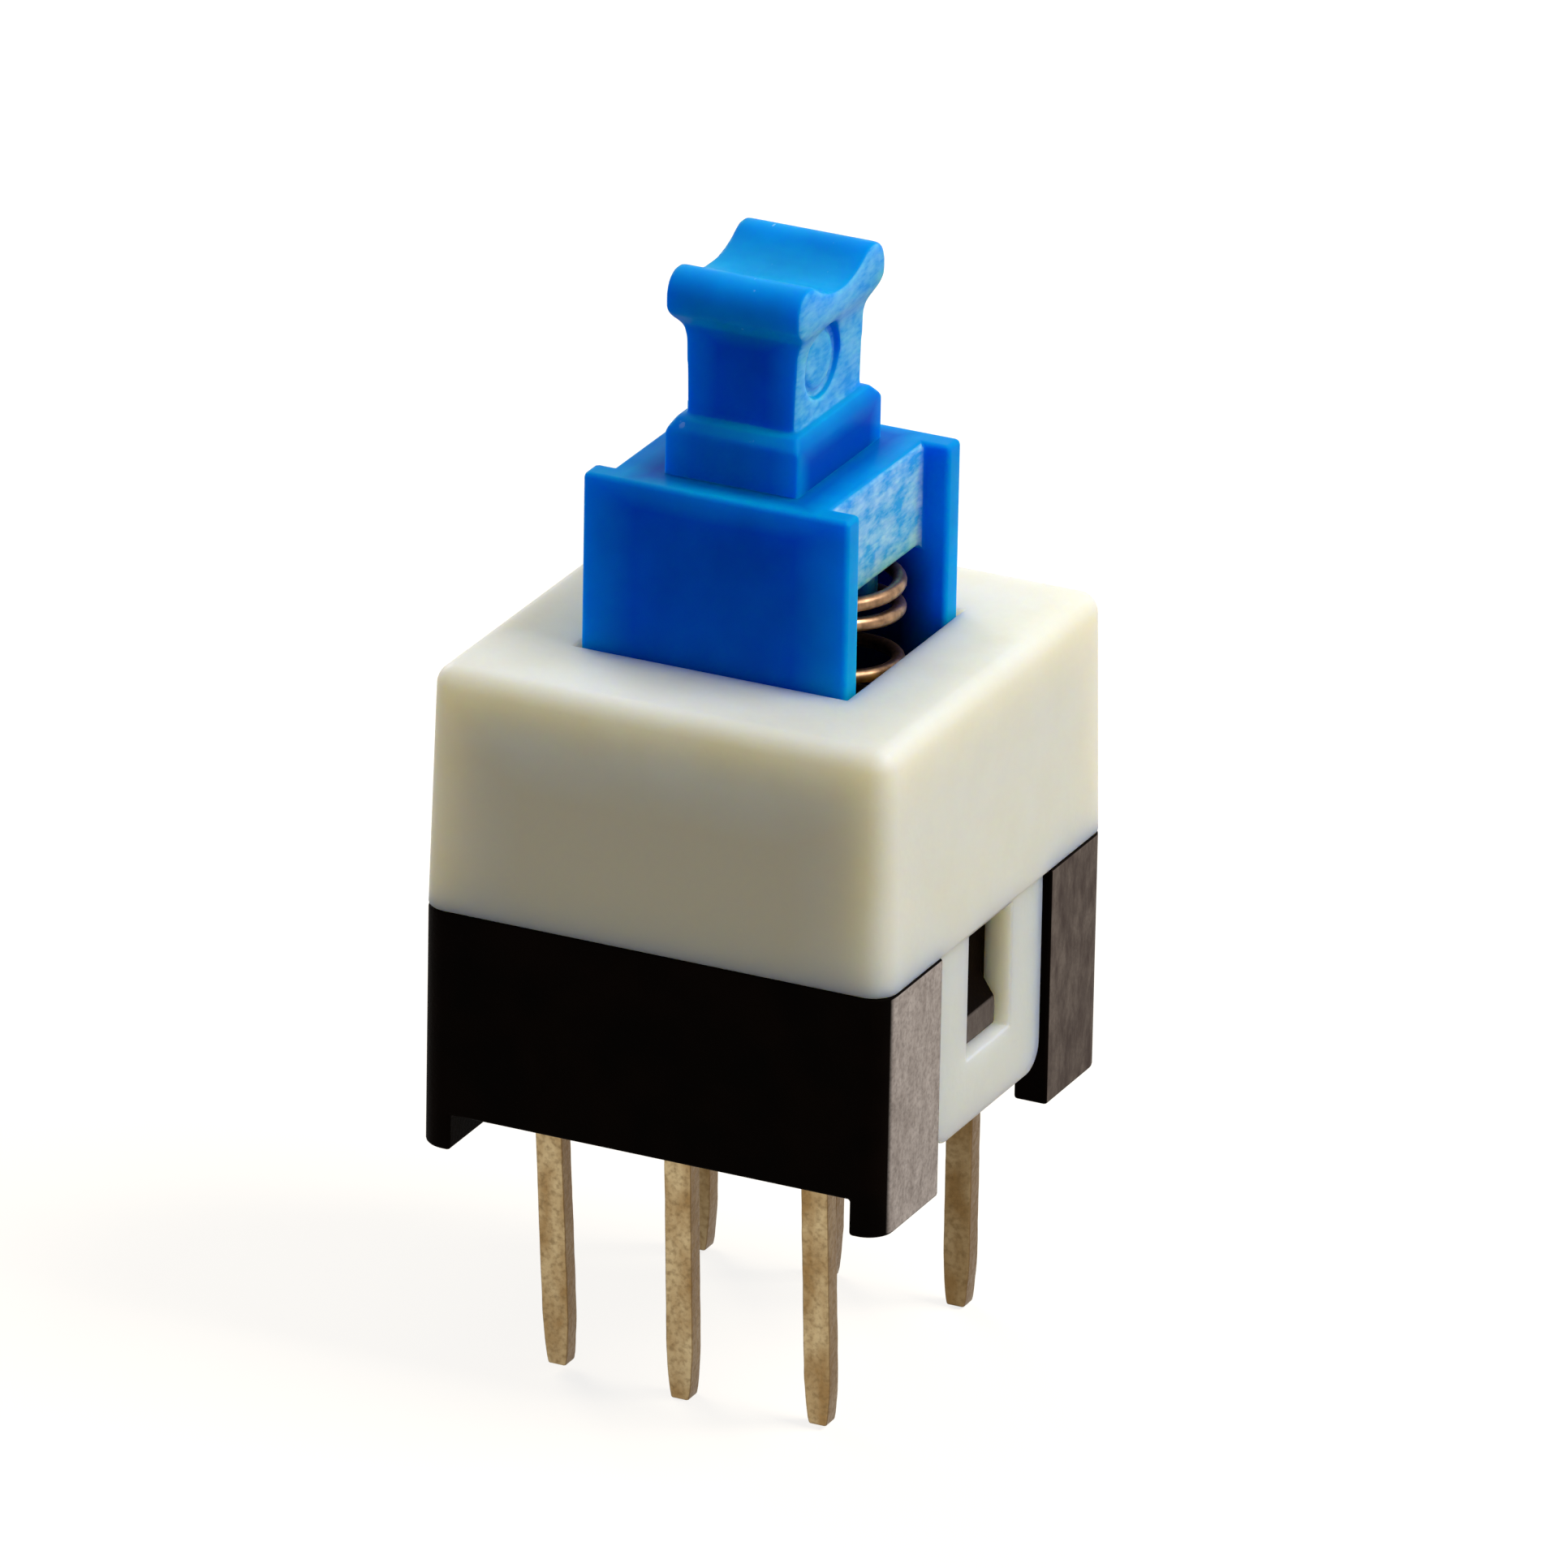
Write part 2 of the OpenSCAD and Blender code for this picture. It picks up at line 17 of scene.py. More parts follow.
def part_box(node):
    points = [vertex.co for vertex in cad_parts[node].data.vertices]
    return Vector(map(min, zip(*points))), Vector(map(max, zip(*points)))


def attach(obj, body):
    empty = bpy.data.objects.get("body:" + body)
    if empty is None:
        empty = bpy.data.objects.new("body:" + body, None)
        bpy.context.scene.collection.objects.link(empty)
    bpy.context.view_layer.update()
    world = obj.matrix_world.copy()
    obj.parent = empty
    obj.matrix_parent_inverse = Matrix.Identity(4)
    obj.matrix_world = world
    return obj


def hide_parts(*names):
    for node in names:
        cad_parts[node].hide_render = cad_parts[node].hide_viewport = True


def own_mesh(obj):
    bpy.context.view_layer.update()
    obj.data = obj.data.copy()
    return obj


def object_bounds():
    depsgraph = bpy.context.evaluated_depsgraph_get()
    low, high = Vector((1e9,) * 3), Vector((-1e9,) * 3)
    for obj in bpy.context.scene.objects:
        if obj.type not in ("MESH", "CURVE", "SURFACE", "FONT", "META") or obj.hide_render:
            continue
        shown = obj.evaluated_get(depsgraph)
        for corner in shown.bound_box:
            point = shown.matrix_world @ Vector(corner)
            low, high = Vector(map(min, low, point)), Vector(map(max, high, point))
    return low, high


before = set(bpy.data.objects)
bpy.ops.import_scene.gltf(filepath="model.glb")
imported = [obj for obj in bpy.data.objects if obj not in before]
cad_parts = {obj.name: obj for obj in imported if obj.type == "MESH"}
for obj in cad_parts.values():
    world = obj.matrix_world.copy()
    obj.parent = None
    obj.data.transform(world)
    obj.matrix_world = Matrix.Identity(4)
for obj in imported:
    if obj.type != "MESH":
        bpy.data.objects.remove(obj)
cad_low, cad_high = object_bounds()

MM = 0.001
print("CAD box in mm:", [round(v / MM, 2) for v in (*cad_low, *cad_high)])


def box_mm(node):
    """Lowest and highest corner of a CAD node, in millimetres."""
    low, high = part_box(node)
    return low / MM, high / MM


# %% [markdown]
# ## Sizes
# Most sizes are read from the boxes of the CAD nodes, so the pieces keep fitting when the
# part changes. What a box can't tell, such as a wall or a radius, is named here. Pieces
# that are joined run SINK or OVERLAP into each other, and a cutter reaches BEYOND a piece.

# %% Sizes read from the frame
housing_low, housing_high = box_mm("housing")
base_high = box_mm("base")[1]
button_low, button_high = box_mm("plunger")
spring_low, spring_high = box_mm("return_spring")
wire_low, wire_high = box_mm("latch_pin")
center_high = box_mm("terminal_front_center")[1]

BODY_HALF = housing_high.x
BODY_TOP = housing_high.z
TAB_LOW = housing_low.z
UPSTAND_TOP = base_high.z
BLOCK_HALF_X = button_high.x
LIP_Y = button_high.y
BUTTON_BOTTOM = button_low.z
HEAD_TOP = button_high.z
FACE_Y = -center_high.y
print("half width", round(BODY_HALF, 3), "contact faces at", round(FACE_Y, 3))

# %% Sizes of the mouldings
PARTING = 3.5
WALL = 0.6
ROOF = 0.7
CORNER_R = 0.38
RIM_R = 0.3
DRAFT = 0.08
FIT = 0.05
TAB_OUT = BODY_HALF - 0.1
TAB_IN = TAB_OUT - 0.42
BAY_X = TAB_IN - FIT / 2
BAY_Y = 1.72
FLOOR_LOW = 0.52
FLOOR_TOP = spring_low.z
SHOULDER = 9.5
COLLAR_TOP = SHOULDER + 0.8
NECK_TOP = COLLAR_TOP + 1.27
COLLAR_HALF = (1.0, 1.3)
BLOCK_HALF_Y = 1.775
PLATE_T = 0.4
SPRING_SEAT = spring_high.z
WINDOW_Y = 0.68
EDGE_R = 0.05
WIRE_D = 0.3
SPRING_X = (spring_low.x + spring_high.x) / 2
SINK = 0.1
OVERLAP = 0.2
BEYOND = 1

# %% [markdown]
# ## Colours and nodes
# A finish is easiest to judge as the hex value that a paint program shows, but the shader
# wants linear light, so one function converts. Each material is a small tree of nodes, and
# one more function adds any node with its settings and links in a single statement.

# %% Helpers for colours and nodes
def linear(code):
    """The linear RGBA of an sRGB hex value such as "D8DAD6"."""
    channels = [int(code[i:i + 2], 16) / 255 for i in (0, 2, 4)]
    return [c / 12.92 if c <= 0.04045 else ((c + 0.055) / 1.055) ** 2.4 for c in channels] + [1]


def add(tree, kind, values=None, **settings):
    """Adds a node. Settings are its properties; values fill its inputs or link to them."""
    node = tree.nodes.new(kind)
    for name, setting in settings.items():
        setattr(node, name, setting)
    for key, value in (values or {}).items():
        socket = node.inputs[key]
        if isinstance(value, bpy.types.NodeSocket):
            tree.links.new(value, socket)
        else:
            socket.default_value = value
    return node


def empty_tree(owner):
    """The emptied node tree of a material or a world."""
    owner.use_nodes = True
    owner.node_tree.nodes.clear()
    return owner.node_tree


def new_material(name):
    """A material, its tree and its Principled shader, already joined to the output."""
    material = bpy.data.materials.new(name)
    tree = empty_tree(material)
    shader = add(tree, "ShaderNodeBsdfPrincipled")
    add(tree, "ShaderNodeOutputMaterial", {"Surface": shader.outputs["BSDF"]})
    return material, tree, shader


def grain(tree, size_mm, detail=2.0, stretch=(1, 1, 1)):
    """Noise on Object coordinates, whose blobs are about size_mm across."""
    place = add(tree, "ShaderNodeTexCoord").outputs["Object"]
    scaled = add(tree, "ShaderNodeMapping", {"Vector": place, "Scale": stretch})
    return add(tree, "ShaderNodeTexNoise", {
        "Vector": scaled.outputs["Vector"], "Scale": 1 / (size_mm * MM), "Detail": detail,
    }).outputs["Fac"]


def blend_colors(tree, amount, first, second):
    """Mixes two colours, each a hex value or a colour output, by amount."""
    mix = add(tree, "ShaderNodeMix", {"Factor": amount}, data_type="RGBA")
    for index, color in ((6, first), (7, second)):
        if isinstance(color, str):
            mix.inputs[index].default_value = linear(color)
        else:
            tree.links.new(color, mix.inputs[index])
    return mix.outputs[2]


def spread(tree, value, low, high, to_low=0.0, to_high=1.0):
    """Maps a range of value to another range, and holds it there."""
    return add(tree, "ShaderNodeMapRange", {
        "Value": value, "From Min": low, "From Max": high, "To Min": to_low, "To Max": to_high,
    }).outputs["Result"]


def facing(tree, axis, least=0.6):
    """1 on the faces that look along an axis, to either side, and 0 on the others."""
    normal = add(tree, "ShaderNodeNewGeometry").outputs["Normal"]
    along = add(tree, "ShaderNodeSeparateXYZ", {"Vector": normal}).outputs[axis]
    return spread(tree, size_of(tree, along), least, (least + 2) / 3)


def calculate(tree, operation, *values):
    """One step of arithmetic."""
    return add(tree, "ShaderNodeMath", dict(enumerate(values)), operation=operation).outputs["Value"]


def size_of(tree, value):
    """A value without its sign."""
    return calculate(tree, "ABSOLUTE", value)


def near(tree, value, edge, start, full):
    """0 until start before an edge, and 1 from full before it, in the unit of value."""
    return spread(tree, value, edge - start, edge - full)


def position_mm(tree):
    """The X, Y and Z of a point on the piece, in millimetres."""
    spot = add(tree, "ShaderNodeTexCoord").outputs["Object"]
    scaled = add(tree, "ShaderNodeVectorMath", {0: spot, "Scale": 1 / MM}, operation="SCALE")
    return add(tree, "ShaderNodeSeparateXYZ", {"Vector": scaled.outputs["Vector"]}).outputs


def both(tree, first, second):
    """Where both masks hold."""
    return calculate(tree, "MULTIPLY", first, second)


def either(tree, first, second):
    """Where one mask or the other holds."""
    return calculate(tree, "MAXIMUM", first, second)


def minus(tree, first, second):
    """The first value less the second, so 1 minus a mask is its opposite."""
    return calculate(tree, "SUBTRACT", first, second)


def set_bump(tree, shader, height, depth_mm):
    """Gives the shader a bump of depth_mm from a height of 0 to 1."""
    bump = add(tree, "ShaderNodeBump", {"Height": height, "Distance": depth_mm * MM})
    tree.links.new(bump.outputs["Normal"], shader.inputs["Normal"])


# %% [markdown]
# ## Housing plastic
# The housing is moulded in natural nylon, which is milky: light goes in at the lit faces and
# comes out, a little warmer, at the edges of the faces in shade. Subsurface scattering does
# this. Its radius is a few walls long, and longest for red. The middles of the front and rear
# faces are painted a little darker and warmer than their rims, a painted warm shade, and the
# sides get a third as much of it.

# %% Natural nylon, moulded
SIDE_SHADE_TINT = 0.35


def natural_nylon():
    material, tree, shader = new_material("natural_nylon_moulded")
    cloud = spread(tree, grain(tree, 1.2, 3.0), 0.35, 0.65)
    spot = position_mm(tree)
    # Painted warm shade on the middles of the front and rear faces, a third as much on the sides.
    edge = either(tree, near(tree, size_of(tree, spot["X"]), BODY_HALF, 1.5, 0.3),
                  near(tree, spot["Z"], BODY_TOP, 1.6, 0.9))
    middle = both(tree, facing(tree, "Y"), minus(tree, 1.0, edge))
    side = spread(tree, facing(tree, "X"), 0.0, 1.0, 0.0, SIDE_SHADE_TINT)
    middle = either(tree, middle, side)
    color = blend_colors(tree, cloud, "ECE8DA", "E7E2D0")
    tree.links.new(blend_colors(tree, middle, color, "E8DAC2"), shader.inputs["Base Color"])
    shader.inputs["Subsurface Weight"].default_value = 1.0
    shader.inputs["Subsurface Radius"].default_value = (1.0, 0.76, 0.38)
    shader.inputs["Subsurface Scale"].default_value = 1.9 * MM
    shader.inputs["IOR"].default_value = 1.53
    shader.inputs["Specular IOR Level"].default_value = 0.35
    tree.links.new(spread(tree, grain(tree, 0.1), 0.3, 0.7, 0.42, 0.58), shader.inputs["Roughness"])
    set_bump(tree, shader, grain(tree, 0.12, 3.0), 0.004)
    return material


# %% [markdown]
# ## Base plastic
# The base is glass-filled nylon dyed black. Its front and rear come from polished steel and
# are nearly black. The outer sides were spark-eroded, with fine darker pits and streaks along
# the draw of the mould, and their mottled grey is a painted sheen of the lamp: a painted
# highlight towards the front and painted shade towards the rear, and the wedge in each
# window is painted darker as shade. The direction and the place of a face tell the two
# apart. The pits are about 0.03 mm wide on the real part and are drawn a little coarser, so
# that they show.

# %% Black nylon, spark-eroded
WEDGE_SHADE = 0.7
PIT_SHADE = 0.35


def black_nylon():
    material, tree, shader = new_material("black_nylon_spark_eroded")
    polished = blend_colors(tree, spread(tree, grain(tree, 0.8), 0.35, 0.65), "040201", "0A0503")
    pits = grain(tree, 0.06, 3.0)
    streaks = spread(tree, grain(tree, 0.18, 3.0, (1, 1, 0.4)), 0.32, 0.68)
    # Painted sheen: the outer sides are grey, lighter at the front and painted darker towards the rear
    # as shade.
    front_sheen = blend_colors(tree, streaks, "988E88", "B4AAA4")
    rear_shade_streaks = blend_colors(tree, streaks, "4A403C", "6C625B")
    spot = position_mm(tree)
    rearward = spread(tree, spot["Y"], -BAY_Y, BAY_Y)
    eroded_sheen = blend_colors(tree, rearward, front_sheen, rear_shade_streaks)
    # Painted shade: the wedge seen through the window is painted darker.
    wedge = spread(tree, size_of(tree, spot["Y"]), WINDOW_Y, WINDOW_Y + 0.05, WEDGE_SHADE, 0.0)
    eroded_sheen = blend_colors(tree, wedge, eroded_sheen, "463E3A")
    eroded_sheen = blend_colors(tree, spread(tree, pits, 0.3, 0.6, PIT_SHADE, 0.0), eroded_sheen, "4A423F")
    # The painted sheen stays on the outer faces; the walls deep in the bays keep the black.
    outer = spread(tree, size_of(tree, spot["X"]), BAY_X + 0.05, BAY_X + 0.1)
    sides = both(tree, facing(tree, "X", 0.9), outer)
    color = blend_colors(tree, sides, polished, eroded_sheen)
    tree.links.new(color, shader.inputs["Base Color"])
    shader.inputs["Roughness"].default_value = 0.55
    shader.inputs["IOR"].default_value = 1.53
    shader.inputs["Specular IOR Level"].default_value = 0.01
    set_bump(tree, shader, pits, 0.006)
    return material


# %% [markdown]
# ## Button plastic
# The button is moulded in acetal with a blue dye. The dye swallows red at once and green
# soon, so light that has travelled through the plastic is a deep blue, while thin edges and
# lit faces stay a bright azure. The scattering radius is therefore longest for blue. On top
# of that, the colour paints light and shade: the middles of the front and rear faces are
# painted deep blue as shade and their rims azure as a painted glow, the shoulder and the
# collar's sides are painted darker as shade, and the sides of the core, the neck and the
# head, shaped by a slide of the mould, are painted pale as a painted reflection, with
# whitish patches and fine scratches across. The hollow round the spring is painted dark as
# shade, and a few light scuffs lie on the saddle.

# %% Blue acetal, moulded
SHEEN_LIMIT_X = 1.85
BAY_REAR = -0.8
BAY_MOUTH = (1.3, 1.8)
# Shares of the deep or dark colour that paints shade in each place, and of the light scuffs.
RIM_SHADE_SHARE = 0.05
CORNER_SHADE_SHARE = 0.75
COLLAR_SHADE_SHARE = 0.3
HOLLOW_SHADE = 0.95
SCUFF = 0.6


def blue_acetal():
    material, tree, shader = new_material("blue_acetal_moulded")
    cloud = spread(tree, grain(tree, 0.9, 2.0), 0.35, 0.65)
    azure = blend_colors(tree, cloud, "0092DA", "0088D0")
    # The deep colour is painted shade for the front and rear faces.
    deep = blend_colors(tree, cloud, "005CDE", "0054D6")
    spot = position_mm(tree)
    x, y = (size_of(tree, spot[axis]) for axis in "XY")
    # The block ends a hair above its shoulder, so that no strip of the collar gets the pale painted
    # reflection.
    block = spread(tree, spot["Z"], SHOULDER + 0.002, SHOULDER + 0.004, 1.0, 0.0)
    stalk = minus(tree, 1.0, block)
    above = near(tree, spot["Z"], COLLAR_TOP, 0.02, -0.02)

    # The front and rear faces are painted deep blue in their middles as shade, and azure at
    # their rims as a painted glow of light through the edges.
    rim = either(tree, near(tree, x, BLOCK_HALF_X, 0.8, 0), near(tree, spot["Z"], SHOULDER, 0.4, 0))
    ends = near(tree, x, COLLAR_HALF[0], 0.65, 0.1)
    lobe = near(tree, spot["Z"], NECK_TOP, 0.2, -0.2)
    low = spread(tree, spot["Z"], COLLAR_TOP - 0.1, COLLAR_TOP + 0.1, 0.4, 0.0)
    lobe = either(tree, lobe, low)
    stalk_glow_rim = both(tree, stalk, either(tree, ends, lobe))
    rim = either(tree, both(tree, block, rim), stalk_glow_rim)
    thick = both(tree, facing(tree, "Y"), spread(tree, rim, 0.0, 1.0, 1.0, RIM_SHADE_SHARE))
    color = blend_colors(tree, thick, azure, deep)

    # Painted shade: the shoulder darkens towards the collar, and so do the middles of the collar's
    # sides.
    beside = either(tree, minus(tree, x, COLLAR_HALF[0]),
                    minus(tree, y, COLLAR_HALF[1]))
    corner = both(tree, facing(tree, "Z"), block)
    corner = both(tree, corner, spread(tree, beside, 0.15, 0.45, CORNER_SHADE_SHARE, 0.0))
    sides = facing(tree, "X")
    collar = both(tree, sides, minus(tree, stalk, above))
    border = either(tree, near(tree, y, COLLAR_HALF[1], 0.4, 0),
                    near(tree, spot["Z"], COLLAR_TOP, 0.4, 0.05))
    collar = both(tree, collar, spread(tree, border, 0.0, 1.0, 1.0, COLLAR_SHADE_SHARE))
    color = blend_colors(tree, either(tree, corner, collar), color, "0044B0")

    # Painted reflection: the sides shaped by a slide of the mould are painted pale, with patches and
    # fine scratches.
    patches = grain(tree, 0.3, 4.0, (1, 0.7, 1))
    scratches = grain(tree, 0.06, 3.0, (1, 0.3, 1))
    wear_and_sheen = add(tree, "ShaderNodeMix", {"Factor": 0.4, "A": patches, "B": scratches})
    wear_and_sheen = spread(tree, wear_and_sheen.outputs["Result"], 0.38, 0.62)
    pale = blend_colors(tree, stalk, blend_colors(tree, wear_and_sheen, "2E98DE", "96C8E8"),
                        blend_colors(tree, wear_and_sheen, "1C92E0", "68B8E8"))
    inner = spread(tree, x, SHEEN_LIMIT_X, SHEEN_LIMIT_X + 0.05, 1.0, 0.0)
    sheen_sides = both(tree, sides, either(tree, block, above))
    color = blend_colors(tree, both(tree, sheen_sides, inner), color, pale)

    # Painted shade: the hollow round the spring is painted dark, and light scuffs lie on the saddle.
    inside = spread(tree, y, BLOCK_HALF_Y - PLATE_T, BLOCK_HALF_Y - PLATE_T + 0.02, 1.0, 0.0)
    inside = both(tree, inside, spread(tree, spot["X"], BAY_REAR, BAY_REAR + 0.02))
    inside = both(tree, inside, spread(tree, spot["X"], *BAY_MOUTH, 1.0, 0.15))
    bay = spread(tree, spot["Z"], SPRING_SEAT - 0.5, SPRING_SEAT + 0.4, HOLLOW_SHADE, 0.0)
    color = blend_colors(tree, both(tree, inside, bay), color, "000C2C")
    scuffs = spread(tree, grain(tree, 0.14, 2.0, (1, 0.4, 1)), 0.7, 0.76, 0.0, SCUFF)
    scuffs = both(tree, scuffs, both(tree, facing(tree, "Z"), stalk))
    color = blend_colors(tree, scuffs, color, "B4DCF0")
    tree.links.new(color, shader.inputs["Base Color"])
    shader.inputs["Subsurface Weight"].default_value = 1.0
    shader.inputs["Subsurface Radius"].default_value = (0.02, 0.12, 1.0)
    shader.inputs["Subsurface Scale"].default_value = 1.3 * MM
    shader.inputs["IOR"].default_value = 1.48
    shader.inputs["Specular IOR Level"].default_value = 0.02
    tree.links.new(spread(tree, wear_and_sheen, 0.0, 1.0, 0.3, 0.45), shader.inputs["Roughness"])
    return material


# %% [markdown]
# ## Metals
# The pins are stamped from brass strip with a dull silver plating, so their faces are a
# blotchy tan, and the sheared edges, where the plating is torn, are browner. The rear row is
# painted browner and darker as painted shade. The spring is drawn stainless wire, the latch
# is bright steel wire and the moving contacts are phosphor bronze. A metal keeps the
# shader's default IOR, because its colour already says how it reflects.

# %% Plated brass, stamped
REAR_SHADE = 0.6
EDGE_BROWN = 0.8


def plated_brass():
    material, tree, shader = new_material("plated_brass_stamped")
    shader.inputs["Metallic"].default_value = 1.0
    zones = spread(tree, grain(tree, 0.4, 4.0, (1, 1, 0.5)), 0.36, 0.64)
    specks = spread(tree, grain(tree, 0.08, 3.0), 0.3, 0.55, 0.45, 1.0)
    plate = blend_colors(tree, zones, "8E724A", "B8A47E")
    plate = blend_colors(tree, specks, "6E5838", plate)
    # Painted shade: the rear row is painted darker brown.
    plate = blend_colors(tree, spread(tree, position_mm(tree)["Y"], 1.0, 2.0, 0.0, REAR_SHADE),
                         plate, "5C4628")
    edge = spread(tree, facing(tree, "X"), 0.0, 1.0, 0.0, EDGE_BROWN)
    tree.links.new(blend_colors(tree, edge, plate, "6A5234"), shader.inputs["Base Color"])
    tree.links.new(spread(tree, specks, 0.0, 1.0, 0.55, 0.36), shader.inputs["Roughness"])
    set_bump(tree, shader, grain(tree, 0.1, 3.0), 0.012)
    return material


# %% Wires and strip
def drawn_metal(name, light, dark, rough, size_mm):
    """A drawn or rolled metal: faint patches of two tones, smooth and bright."""
    material, tree, shader = new_material(name)
    shader.inputs["Metallic"].default_value = 1.0
    tone = spread(tree, grain(tree, size_mm, 3.0), 0.3, 0.7)
    tree.links.new(blend_colors(tree, tone, light, dark), shader.inputs["Base Color"])
    tree.links.new(spread(tree, tone, 0.0, 1.0, rough, rough + 0.12), shader.inputs["Roughness"])
    return material


NYLON = natural_nylon()
BASE_PLASTIC = black_nylon()
BLUE = blue_acetal()
PLATED = plated_brass()
SPRING_STEEL = drawn_metal("stainless_spring_wire_drawn", "AC8868", "5E4634", 0.3, 0.2)
LATCH_STEEL = drawn_metal("steel_wire_bright_drawn", "C9C9CC", "A6A6AA", 0.24, 0.25)
BRONZE = drawn_metal("phosphor_bronze_rolled", "D8B184", "B98D5E", 0.26, 0.3)
print("materials:", ", ".join(m.name for m in bpy.data.materials if m.use_nodes and m.users == 0))

# %% [markdown]
# ## Outlines and prisms
# A moulding is mostly walls drawn straight out of a plan. An outline is a list of corners,
# and a corner with a radius is turned into an arc. A prism pulls the outline along one
# axis. Boolean modifiers join the prisms and cut the holes, and a narrow bevel gives the
# result the soft edges of a mould. Modifiers are used in place of operators, because they
# need no selection and leave no history behind.

# %% Outlines
ARC_STEP = math.radians(7.5)


def outline(corners):
    """Points of a closed outline. A corner (a, b, r) becomes an arc of radius r."""
    points = []
    for i, corner in enumerate(corners):
        here = Vector(corner[:2])
        radius = corner[2] if len(corner) > 2 else 0
        if not radius:
            points.append(here)
            continue
        before = (Vector(corners[i - 1][:2]) - here).normalized()
        after = (Vector(corners[(i + 1) % len(corners)][:2]) - here).normalized()
        half = before.angle(after) / 2
        center = here + (before + after).normalized() * radius / math.sin(half)
        start = here + before * radius / math.tan(half) - center
        end = here + after * radius / math.tan(half) - center
        turn = math.atan2(start.cross(end), start.dot(end))
        parts = max(2, round(abs(turn) / ARC_STEP))
        for k in range(parts + 1):
            points.append(center + Matrix.Rotation(turn * k / parts, 2) @ start)
    return points


def rectangle(half_a, half_b, radius=0):
    """Corners of a rectangle around the middle."""
    return [(a * half_a, b * half_b, radius) for a, b in ((-1, -1), (1, -1), (1, 1), (-1, 1))]


def circle(a, b, radius, parts=48):
    """Points of a circle around (a, b)."""
    angles = [math.tau * k / parts for k in range(parts)]
    return [Vector((a + radius * math.cos(t), b + radius * math.sin(t))) for t in angles]


# %% Solids
PLANES = {"x": (1, 2, 0), "y": (0, 2, 1), "z": (0, 1, 2)}


def to_object(name, bm):
    """Turns a bmesh into an object with outward faces."""
    bmesh.ops.recalc_face_normals(bm, faces=bm.faces)
    mesh = bpy.data.meshes.new(name)
    bm.to_mesh(mesh)
    bm.free()
    piece = bpy.data.objects.new(name, mesh)
    bpy.context.scene.collection.objects.link(piece)
    return piece


def loft(rings):
    """A closed solid through rings that have the same number of points."""
    bm = bmesh.new()
    made = [[bm.verts.new(point) for point in ring] for ring in rings]
    for lower, upper in zip(made, made[1:]):
        for i in range(len(lower)):
            j = (i + 1) % len(lower)
            bm.faces.new((lower[i], lower[j], upper[j], upper[i]))
    bm.faces.new(made[0])
    bm.faces.new(made[-1])
    return to_object("solid", bm)


def prism(along, low, high, points):
    """Pulls an outline along an axis from low to high."""
    first, second, third = PLANES[along]
    rings = []
    for level in (low, high):
        ring = []
        for point in points:
            place = [0, 0, 0]
            place[first] = point[0]
            place[second] = point[1]
            place[third] = level
            ring.append(Vector(place))
        rings.append(ring)
    return loft(rings)


def block(low, high):
    """A box between two corners."""
    corners = [(low[0], low[1]), (high[0], low[1]), (high[0], high[1]), (low[0], high[1])]
    return prism("z", low[2], high[2], corners)


# %% Joining, cutting and finishing
def evaluated(piece):
    """A plain mesh of the piece with its modifiers applied."""
    graph = bpy.context.evaluated_depsgraph_get()
    return bpy.data.meshes.new_from_object(piece.evaluated_get(graph))


def bake(piece):
    """Replaces the mesh of the piece by the mesh with its modifiers applied."""
    piece.data = evaluated(piece)
    piece.modifiers.clear()
    return piece


def combine(piece, others, operation):
    """Joins, cuts or intersects piece with the others, one after another."""
    for other in others:
        modifier = piece.modifiers.new("combine", "BOOLEAN")
        modifier.operation = operation
        modifier.solver = "EXACT"
        modifier.object = other
    bake(piece)
    for other in others:
        bpy.data.objects.remove(other)
    return piece


def join(piece, *others):
    """Joins the others to the piece."""
    return combine(piece, others, "UNION")


def cut(piece, *others):
    """Cuts the others out of the piece."""
    return combine(piece, others, "DIFFERENCE")


FLAT = math.radians(0.5)
SAME_SPOT = 0.0005
SHARP = math.radians(32)


def clean(piece):
    """Merges doubles and dissolves the seams that joining leaves on flat faces."""
    bm = bmesh.new()
    bm.from_mesh(piece.data)
    bmesh.ops.remove_doubles(bm, verts=bm.verts, dist=SAME_SPOT)
    bmesh.ops.dissolve_limit(bm, angle_limit=FLAT, verts=bm.verts, edges=bm.edges)
    bm.to_mesh(piece.data)
    bm.free()


def soften(piece, edge=EDGE_R, segments=3):
    """Rounds the sharp edges with a narrow bevel."""
    clean(piece)
    bevel = piece.modifiers.new("edges", "BEVEL")
    bevel.width = edge
    bevel.segments = segments
    bevel.limit_method = "ANGLE"
    bevel.angle_limit = SHARP
    bevel.use_clamp_overlap = False
    return bake(piece)


def finish(piece, name, material, slot, body, replaced):
    """Evens the shading, scales the piece to metres and hands it to the frame."""
    piece.data.shade_smooth()
    normals = piece.modifiers.new("flat faces", "WEIGHTED_NORMAL")
    normals.keep_sharp = True
    mesh = evaluated(piece)
    piece.modifiers.clear()
    place(piece, mesh, name, material, slot, body, replaced)


def place(piece, mesh, name, material, slot, body, replaced):
    """Gives the piece its final mesh in metres, its material, body and CAD nodes."""
    mesh.transform(Matrix.Scale(MM, 4))
    mesh.materials.clear()
    mesh.materials.append(material)
    piece.data = mesh
    piece.name = name
    mesh.name = name
    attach(piece, body)
    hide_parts(*replaced)
    print(f"{name}: {len(mesh.polygons)} faces")


# %% [markdown]
# ## Housing
# The housing is one shot of nylon: a cap with rounded corners, walls that lean in a little
# so that it leaves the mould, a square opening for the button, and on two sides a tab with
# a window that snaps over a wedge of the base. The skin is lofted through rounded plans
# that shrink towards the roof, which gives the lean and the round rim in one form.

# %% Housing
RIM_STEPS = 8
LEAST_R = 0.02


